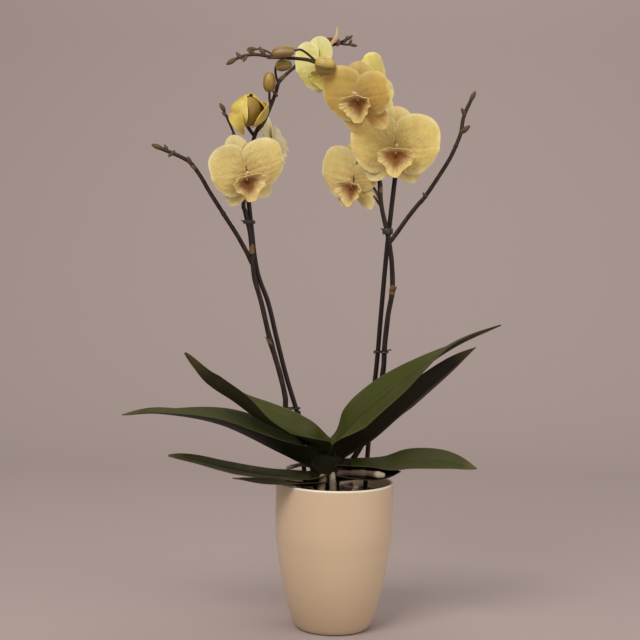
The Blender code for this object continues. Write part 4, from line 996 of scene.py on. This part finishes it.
for i, (flower_name, shape) in enumerate(FLOWERS.items()):
    petal, middle = shape["petal"], shape["middle"]
    axes = flower_axes(shape["turned"], shape["raised"], shape["leaned"])
    star, star_edge = sepal_star(petal, 1.3 * i, UPPER_SEPALS.get(flower_name, UPPER_SEPAL))
    star_part = polar_sheet(star, PETAL_THICKNESS, {"edge": star_edge})
    add_piece(f"{flower_name}_sepal_star", [placed_flower(star_part, petal, middle, axes)],
              tepal_materials[flower_name], [f"{flower_name}_sepals"])
    for k, (side, word) in enumerate(((-1, "left"), (1, "right"))):
        share, narrow = shape.get("length", (1, 1))[k], shape.get("narrow", (1, 1))[k]
        bend, ruffle = shape.get("bend", (0, 0))[k], RUFFLES.get(flower_name, 1.0)
        blade, blade_edge = petal_blade(petal * share, side, bend, narrow, 1.7 * i + 2.1 * k, ruffle)
        blade_part = sheet(blade, PETAL_THICKNESS, np.array((0, 0, 1.0)), {"edge": blade_edge})
        add_piece(f"{flower_name}_{word}_petal", [placed_flower(blade_part, petal, middle, axes)],
                  tepal_materials[flower_name], [f"{flower_name}_petal_{word}"])


# === Lips and columns ======================================================================================
# The third petal, in front of each flower's middle: a broad ruffled bowl with a squared tongue, deep
# red-brown inside and breaking into streaks towards its cream edge. The pale pink column stands over it.
LIP_THICKNESS = 0.0008
LIP_STEPS, LIP_RINGS = 120, 20


def lip_bowl(size, phase):
    """Rings about the lip's middle: a squared-off ellipse with a bell-shaped tongue below, dished with the square of
    the ring, with side lobes and a ruffle that grow towards the margin."""
    phi = (np.arange(LIP_STEPS) * 2 * math.pi / LIP_STEPS)[None, :]
    ring = np.linspace(0.04, 1.0, LIP_RINGS)[:, None]
    wide = 0.42 * size * np.abs(np.cos(phi)) ** 0.7 * np.sign(np.cos(phi))
    tongue = 0.22 * np.exp(-((np.cos(phi) / 0.35) ** 2))
    tall = np.where(np.sin(phi) < 0, 0.27 + tongue, 0.16) * size * np.sin(phi)
    ruffle = sum(height * np.sin(waves * phi + step * phase)
                 for height, waves, step in ((0.020, 5, 1), (0.020, 8, 2), (0.012, 19, 3))) * ring**4
    notch = 1 + ring**4 * (0.035 * np.sin(7 * phi + phase) + 0.025 * np.sin(17 * phi + 2 * phase))
    fold = -0.06 * np.exp(-((np.cos(phi) / 0.16) ** 2)) * (np.sin(phi) < 0) * ring * (1 - 0.5 * ring)
    bowl = size * (0.14 + 0.16 * ring**2 * (0.85 + 0.30 * np.abs(np.cos(phi))) + ruffle + fold)
    local = np.stack([ring * wide * notch, ring * tall * notch - 0.20 * size, bowl], axis=2)
    return local, ring * np.ones_like(phi)


def lip_finish(name, margin, blotch):
    """Deep red-brown in the throat; streaks of it run out over cream and thin away; the column is pink cream."""
    lip = Finish(name, Subsurface_Weight=0.12, Subsurface_Scale=0.004, Specular_IOR_Level=0.4)
    ring, tag, face = lip.attribute("edge"), lip.attribute("tag"), lip.attribute("face")
    local = lip.node("VectorMath", {"operation": "ADD"}, {0: lip.attribute("local", 1), 1: (0.0, 0.20, 0.0)})
    _, streak = fan(lip, local, 9.0, 2.0)
    _, fine = fan(lip, local, 22.0, 4.0)
    ragged = ring + (lip.noise(160.0, 3.0, 0.6) - 0.5) * 0.35
    cream = lip.mix(lip.noise(90.0, 3.0), margin, tuple(0.84 * c for c in margin))
    cream = lip.mix(lip.step(ragged, 1.0, 0.5) * 0.6, cream, tuple(0.5 * (c + d) for c, d in zip(margin, blotch)))
    stained = lip.mix(streak * lip.step(ragged, 0.98, 0.45) * 0.8, cream, blotch)
    stained = lip.mix(fine * lip.step(ragged, 0.95, 0.4) * 0.55, stained, blotch)
    stained = lip.mix(lip.step(ragged, 0.74, 0.34) * 0.9, stained, blotch)
    stained = lip.mix(lip.step(ring, 0.30, 0.06) * 0.6, stained, tuple(0.5 * c for c in blotch))
    back = lip.mix(fine * 0.4, (0.70, 0.54, 0.20), (0.50, 0.28, 0.10))
    column = lip.mix(lip.step(lip.noise(420.0, 3.0), 0.45, 0.7) * 0.3, (0.84, 0.62, 0.40), (0.70, 0.40, 0.26))
    lip.paint(Base_Color=lip.mix(tag, lip.mix(face, back, stained), column), Roughness=0.40 + ring * 0.12)
    lip.bump(fine * 0.4 + streak * 0.4 + lip.noise(220.0, 3.0) * 0.4, 0.0004, 0.7)
    return lip.material


LIP_TINTS = {                        # margin, stain
    "flower_right_front": ((0.86, 0.67, 0.27), (0.290, 0.092, 0.010)),
    "flower_right_lower": ((0.82, 0.64, 0.27), (0.270, 0.088, 0.012)),
    "flower_right_upper": ((0.76, 0.60, 0.22), (0.230, 0.066, 0.008)),
    "flower_right_back": ((0.86, 0.72, 0.34), (0.36, 0.15, 0.050)),
    "flower_top": ((0.80, 0.70, 0.16), (0.58, 0.42, 0.100)),
    "flower_left_front": ((0.80, 0.60, 0.24), (0.240, 0.074, 0.008)),
    "flower_left_back": ((0.92, 0.80, 0.52), (0.52, 0.22, 0.120)),
}
# How far each lip stands off the usual place, in petal lengths: to the right, and up.
LIP_SHIFTS = {"flower_right_front": (0.02, 0.10), "flower_right_upper": (0.0, 0.15),
              "flower_left_front": (-0.08, 0.02)}
for i, (flower_name, shape) in enumerate(FLOWERS.items()):
    petal = shape["petal"]
    axes = flower_axes(shape["turned"], shape["raised"], shape["leaned"])
    middle = shape["middle"] + petal * np.array(LIP_SHIFTS.get(flower_name, (0, 0))) @ axes[:2]
    bowl, ring = lip_bowl(petal, 0.9 + 1.1 * i)
    bowl_part = polar_sheet(bowl, LIP_THICKNESS, {"edge": ring})
    column_route = smooth_route(np.array(((0, -0.15, 0.13), (0, -0.04, 0.18), (0, 0.03, 0.28))) * petal, 20)
    column_girth = np.interp(np.linspace(0, 1, 20), (0, 0.5, 0.85, 1), (0.040, 0.044, 0.048, 0.036)) * petal
    column_part = limb(column_route, column_girth, 20, squash=0.85, lobes=0.05, lobe_count=3, tag=1.0)
    calli = []
    for k in (-1, 1):                # two small dark teeth at the root of the lip
        tooth = np.array(((k * 0.030, -0.20, 0.135), (k * 0.036, -0.225, 0.155), (k * 0.040, -0.25, 0.165)))
        points, faces, extra = limb(tooth * petal, np.array((0.028, 0.030, 0.018)) * petal, 12)
        calli.append((points, faces, {**extra, "edge": 0.0 * extra["edge"], "face": np.ones(len(points))}))
    add_piece(f"{flower_name}_lip_bowl",
              [placed_flower(part, petal, middle, axes) for part in (bowl_part, column_part, *calli)],
              lip_finish(f"{flower_name}_lip_skin", *LIP_TINTS[flower_name]), [f"{flower_name}_lip"])


# === Buds ==================================================================================================
# Closed buds: five tepals pressed edge to edge in a waxy egg, olive where they are young and brown-streaked
# along their seams.
BUDS = {                             # base, tip, greatest radius, ground colour, streak colour
    "bud_upright": (mm(-78.7, 0, 584.5), mm(-79, -3, 606), 0.0068, (0.4, 0.27, 0.045), (0.19, 0.085, 0.015)),
    "bud_hanging": (mm(-72.2, 1, 612.5), mm(-55, -7, 614.5), 0.0064, (0.3, 0.215, 0.05), (0.15, 0.08, 0.02)),
    "bud_on_arch": (mm(-51.8, -14.2, 628), mm(-76.5, -15, 624.5), 0.0068, (0.31, 0.215, 0.07), (0.15, 0.075, 0.026)),
    "bud_striped": (mm(-29.5, -31, 613), mm(-8, -35, 608.5), 0.0098, (0.58, 0.44, 0.11), (0.11, 0.055, 0.014)),
}


def pod(base, tip, radius, lobes, tag=0.0):
    """An egg: girth is a power of a sine of the length, greatest just above the base, ribbed by its tepals."""
    t = np.linspace(0, 1, 36)
    girth = np.maximum(1 - np.abs(2 * t**0.92 - 1) ** 2.3, 0.0) ** 0.55 + 0.05
    line = base + t[:, None] * (tip - base)
    return limb(line, 0.96 * radius * girth, 48, lobes=lobes, lobe_count=3, tag=tag)


def bud_finish(name, ground, streak_colour, painted_shade_below):
    """Waxy ground; the `edge` of the lobing darkens its furrows, fine streaks run from base to tip, and painted
    shade darkens the side that lies below a height towards the streak colour."""
    bud = Finish(name, Subsurface_Weight=0.10, Subsurface_Scale=0.004, Coat_Weight=0.12, Coat_Roughness=0.35)
    edge, along = bud.attribute("edge"), bud.attribute("along")
    streaks = bud.noise(1.0, 4.0, 0.6, bud.node("CombineXYZ", {}, {0: edge * 7.0, 1: along * 1.6}))
    colour = bud.mix(bud.step(streaks, 0.45, 0.68) * 0.65, ground, streak_colour)
    colour = bud.mix(bud.step(edge, -0.55, -1.0) * 0.7, colour, streak_colour)
    colour = bud.mix(bud.step(along, 0.80, 1.0) * 0.45, colour, streak_colour)
    colour = bud.mix(bud.step(bud.height(), painted_shade_below + 0.003, painted_shade_below - 0.005) * 0.6, colour, streak_colour)
    blush = bud.noise(150.0, 3.0)
    colour = bud.mix(bud.step(blush, 0.55, 0.75) * 0.3, colour, (0.42, 0.26, 0.10))
    bud.paint(Base_Color=colour, Roughness=0.36 + blush * 0.15)
    bud.bump(streaks * 0.8 + bud.noise(300.0, 3.0) * 0.3, 0.0004, 0.7)
    return bud.material


for bud_name, (base, tip, radius, ground, streak_colour) in BUDS.items():
    # Painted shade: each bud is darkened on its lower side, below this height.
    painted_shade_below = 0.6 * base[2] + 0.4 * tip[2] - 0.15 * radius
    skin = bud_finish(f"{bud_name}_skin", ground, streak_colour, painted_shade_below)
    add_piece(f"{bud_name}_pod", [pod(base, tip, radius, 0.06)], skin, [bud_name])


# === Half-open flower ======================================================================================
# A flower caught opening: its petals and sepals still wrap one another like a cup, parted on the right so
# that its dark inside shows.
HALF_OPEN_BASE = mm(-102.6, -0.6, 548.2)
HALF_OPEN_TIP = mm(-98, -13, 580)
HALF_OPEN_RADIUS = 0.0200


def wrapped_tepal(start, stop, swell, lift, reach, gape, curl=0.06):
    """A patch of a cup between two angles about its axis, from 0 on the right through 90 at the front. Its girth
    is a power of a sine of its length; its free end opens by gape, and its side edges turn outward by curl."""
    t = np.linspace(0.02, reach, 38)[:, None]
    u = np.linspace(0, 1, 29)[None, :]
    narrowing = np.sin(math.pi * np.clip(0.12 + 0.84 * t / reach, 0, 1)) ** 0.22
    angle = np.radians(0.5 * (start + stop) + (stop - start) * (u - 0.5) * narrowing)
    girth = HALF_OPEN_RADIUS * np.sin(math.pi * (0.06 + 0.885 * t**0.9)) ** 0.70 * swell
    girth = girth + HALF_OPEN_RADIUS * (gape * t**2 + curl * np.abs(2 * u - 1) ** 5 * np.sin(math.pi * t))
    girth = girth + 0.025 * HALF_OPEN_RADIUS * np.sin(9 * u + 7 * t) * t
    axis = HALF_OPEN_TIP - HALF_OPEN_BASE
    upward = axis / np.linalg.norm(axis)
    across = np.cross(upward, (0, -1.0, 0))
    across /= np.linalg.norm(across)
    toward = np.cross(across, upward)
    ring = np.cos(angle)[..., None] * across + np.sin(angle)[..., None] * toward
    rise = (lift + t * (1 - 0.10 * np.abs(2 * u - 1) ** 2 * t))[..., None] * axis
    grid = HALF_OPEN_BASE + rise + girth[..., None] * ring
    edge = np.maximum(np.abs(2 * u - 1) ** 3, (t / reach) ** 6) * np.ones_like(t)
    extra = {"edge": edge, "along": t * np.ones_like(u), "across": (2 * u - 1) * np.ones_like(t)}
    return sheet(grid, 0.0008, ring, extra)


cup = Finish("half_open_skin", Subsurface_Weight=0.14, Subsurface_Scale=0.005, Specular_IOR_Level=0.38)
cup_across, cup_along = cup.attribute("across"), cup.attribute("along")
cup_lines = cup.noise(1.0, 3.0, 0.6, cup.node("CombineXYZ", {}, {0: cup_across * 9.0, 1: cup_along * 1.6}))
cup_ground = cup.mix(cup.step(cup.noise(70.0, 3.0), 0.35, 0.7), (0.64, 0.500, 0.110), (0.50, 0.375, 0.068))
cup_ground = cup.mix(cup.step(cup_lines, 0.52, 0.68) * 0.5, cup_ground, (0.44, 0.25, 0.045))
cup_ground = cup.mix(cup.step(cup_along, 0.30, 0.0) * 0.5, cup_ground, (0.38, 0.25, 0.040))
cup_ground = cup.mix(cup.step(cup.attribute("edge"), 0.6, 1.0) * 0.5, cup_ground, (0.80, 0.65, 0.17))
cup_colour = cup.mix(cup.attribute("face"), (0.60, 0.44, 0.075), cup_ground)
cup.paint(Base_Color=cup.mix(cup.attribute("tag"), cup_colour, (0.30, 0.195, 0.032)),
          Roughness=0.42 + cup.noise(200.0, 3.0) * 0.16)
cup.bump(cup_lines + cup.noise(300.0, 2.0) * 0.3, 0.0004, 0.7)

# The lobe that hangs at the lower left: a narrow sheet on a route, as wide as a power of a sine, folded forward.
FLAP_ROWS = 30
flap_line = smooth_route(mm((-114.5, -19, 562), (-113, -23.5, 554.5), (-109.5, -22.5, 546.5), (-105, -17, 537.5)),
                         FLAP_ROWS)[:, None, :]
flap_v = np.linspace(-1, 1, 15)[None, :, None]
flap_width = 0.0072 * np.sin(math.pi * np.linspace(0.25, 0.97, FLAP_ROWS))[:, None, None] ** 0.8
flap_section = flap_v * np.array((0.92, -0.1, 0.38)) + 0.45 * flap_v**2 * np.array((0, -1.0, 0))
flap_grid = flap_line + flap_width * flap_section
flap_along = np.linspace(0, 1, FLAP_ROWS)[:, None] * np.ones((1, 15))
flap_across = flap_v[..., 0] * np.ones_like(flap_along)
flap = sheet(flap_grid, 0.0007, np.array((0, -1.0, 0)),
             {"along": flap_along, "across": flap_across, "edge": flap_across**4})
cup_parts = [
    pod(HALF_OPEN_BASE, HALF_OPEN_BASE + 0.94 * (HALF_OPEN_TIP - HALF_OPEN_BASE), 0.0130, 0.04, 1.0),
    wrapped_tepal(190, 365, 0.94, 0.05, 1.00, -0.14), wrapped_tepal(86, 240, 0.98, 0.00, 0.99, -0.06, 0.03),
    wrapped_tepal(-75, 62, 0.94, 0.00, 0.78, 0.42, 0.14), flap,
]
add_piece("half_open_cup", cup_parts, cup.material, ["half_open_flower"])


# === Tip trimmings =========================================================================================
# Small living trim near the top of the arch: a dark red bract, a tiny tip bud beside it, and a pale curl.
trim = Finish("trim_skin")
trim_tag, trim_grain = trim.attribute("tag"), trim.noise(420.0, 4.0, 0.6)
trim_colour = trim.ramp(trim_tag, (0.0, (0.115, 0.018, 0.010)), (0.5, (0.16, 0.075, 0.030)),
                        (1.0, (0.66, 0.46, 0.24)))
trim.paint(Base_Color=trim.mix(trim_grain * 0.4, trim_colour, (0.10, 0.035, 0.016)),
           Roughness=0.45 + trim_grain * 0.2)
trim.bump(trim_grain, 0.0003, 0.6)

TRIMMINGS = (                        # route, girth, the stretch of a sine it follows, rows, sides, squash, tag
    (mm((-21.8, 27, 637), (-19, 25, 641), (-15, 24.5, 644), (-10.5, 25, 646)), 0.0042,
     (0.10, 0.88), 24, 14, 0.5, 0.0),
    (mm((-20, 24.5, 633.5), (-15, 22.5, 638), (-10, 21.5, 644), (-7, 21.5, 650), (-6.8, 22.5, 658)), 0.0017,
     (0.2, 0.92), 30, 10, 0.5, 1.0),
    (mm((-6, 27.5, 640), (-5, 26, 642.5), (-4.5, 25, 645.5)), 0.0026, (0.22, 0.88), 12, 12, 1.0, 0.5),
)
trim_parts = []
for route, girth, (first, last), rows, sides, squash, tag in TRIMMINGS:
    swell = girth * np.sin(math.pi * np.linspace(first, last, rows))
    if tag == 1.0:                   # the curl keeps some girth right to its ends
        swell += 0.0003
    trim_parts.append(limb(smooth_route(route, rows), swell, sides, squash=squash, tag=tag))
add_piece("tip_trimmings", trim_parts, trim.material)


# === Studio ================================================================================================
# A plain pale floor and background. A wide warm light stands to the front left above the plant, with a weak
# fill from the right; the camera stands 1.5 m away, a little over the middle of the plant, and looks slightly
# down.
scene = bpy.context.scene
floor_material = bpy.data.materials.new("pale_paper")
floor_material.use_nodes = True
paper = floor_material.node_tree.nodes["Principled BSDF"]
paper.inputs["Base Color"].default_value = (0.42, 0.350, 0.335, 1.0)
paper.inputs["Roughness"].default_value = 0.85
PAPER_HALF_WIDTH = 3.0
SWEEP_START = 1.0                    # how far behind the plant the paper starts to rise
SWEEP_RADIUS = 0.9
bend_angle = np.linspace(0, math.pi / 2, 56)
sweep_bend = np.stack([SWEEP_START + SWEEP_RADIUS * np.sin(bend_angle), SWEEP_RADIUS * (1 - np.cos(bend_angle))],
                      axis=1)
sweep_line = np.vstack([(-3.0, 0.0), (0.2, 0.0), sweep_bend, (SWEEP_START + SWEEP_RADIUS, 2.2),
                        (SWEEP_START + SWEEP_RADIUS, 3.4)])
paper_mesh = bpy.data.meshes.new("paper_sweep")
paper_rows = [[(x, *point) for x in (-PAPER_HALF_WIDTH, PAPER_HALF_WIDTH)] for point in sweep_line]
paper_mesh.from_pydata(np.reshape(paper_rows, (-1, 3)), [], quads(len(sweep_line), 2)[:, ::-1].tolist())
paper_mesh.materials.append(floor_material)
paper_mesh.shade_smooth()
paper_sweep = bpy.data.objects.new("paper_sweep", paper_mesh)
scene.collection.objects.link(paper_sweep)


def soft_light(name, where, aim, size, power, colour):
    """A square area light at `where` that faces `aim`."""
    lamp = bpy.data.lights.new(name, "AREA")
    lamp.size = size
    lamp.energy = power
    lamp.color = colour
    made = bpy.data.objects.new(name, lamp)
    made.location = where
    made.rotation_euler = (Vector(aim) - Vector(where)).to_track_quat("-Z", "Y").to_euler()
    scene.collection.objects.link(made)
    return made


PLANT_MIDDLE = (0.0, 0.0, 0.36)
key_light = soft_light("key", (-0.8, -1.5, 1.9), PLANT_MIDDLE, 1.1, 36.0, (1.0, 0.95, 0.89))
fill_light = soft_light("fill", (1.6, -1.2, 0.9), PLANT_MIDDLE, 1.6, 13.0, (1.0, 0.96, 0.92))
back_light = soft_light("wall_wash", (0.4, 0.5, 2.2), (0.0, 1.6, 0.5), 1.4, 12.0, (1.0, 0.96, 0.92))

world = bpy.data.worlds.new("soft_room")
world.use_nodes = True
world.node_tree.nodes["Background"].inputs["Color"].default_value = (1.0, 0.95, 0.90, 1.0)
world.node_tree.nodes["Background"].inputs["Strength"].default_value = 0.38
scene.world = world
scene.view_settings.view_transform = "Standard"

lens = bpy.data.cameras.new("viewpoint")
lens.lens = 78.75
lens.sensor_width = 36.0
lens.dof.use_dof = False
viewpoint = bpy.data.objects.new("viewpoint", lens)
viewpoint.matrix_world = (Matrix.Translation((-0.0195, -1.524, 0.440)) @ Matrix.Rotation(math.radians(86.22), 4, "X")
                          @ Matrix.Rotation(math.radians(1.06), 4, "Z"))
scene.collection.objects.link(viewpoint)
scene.camera = viewpoint
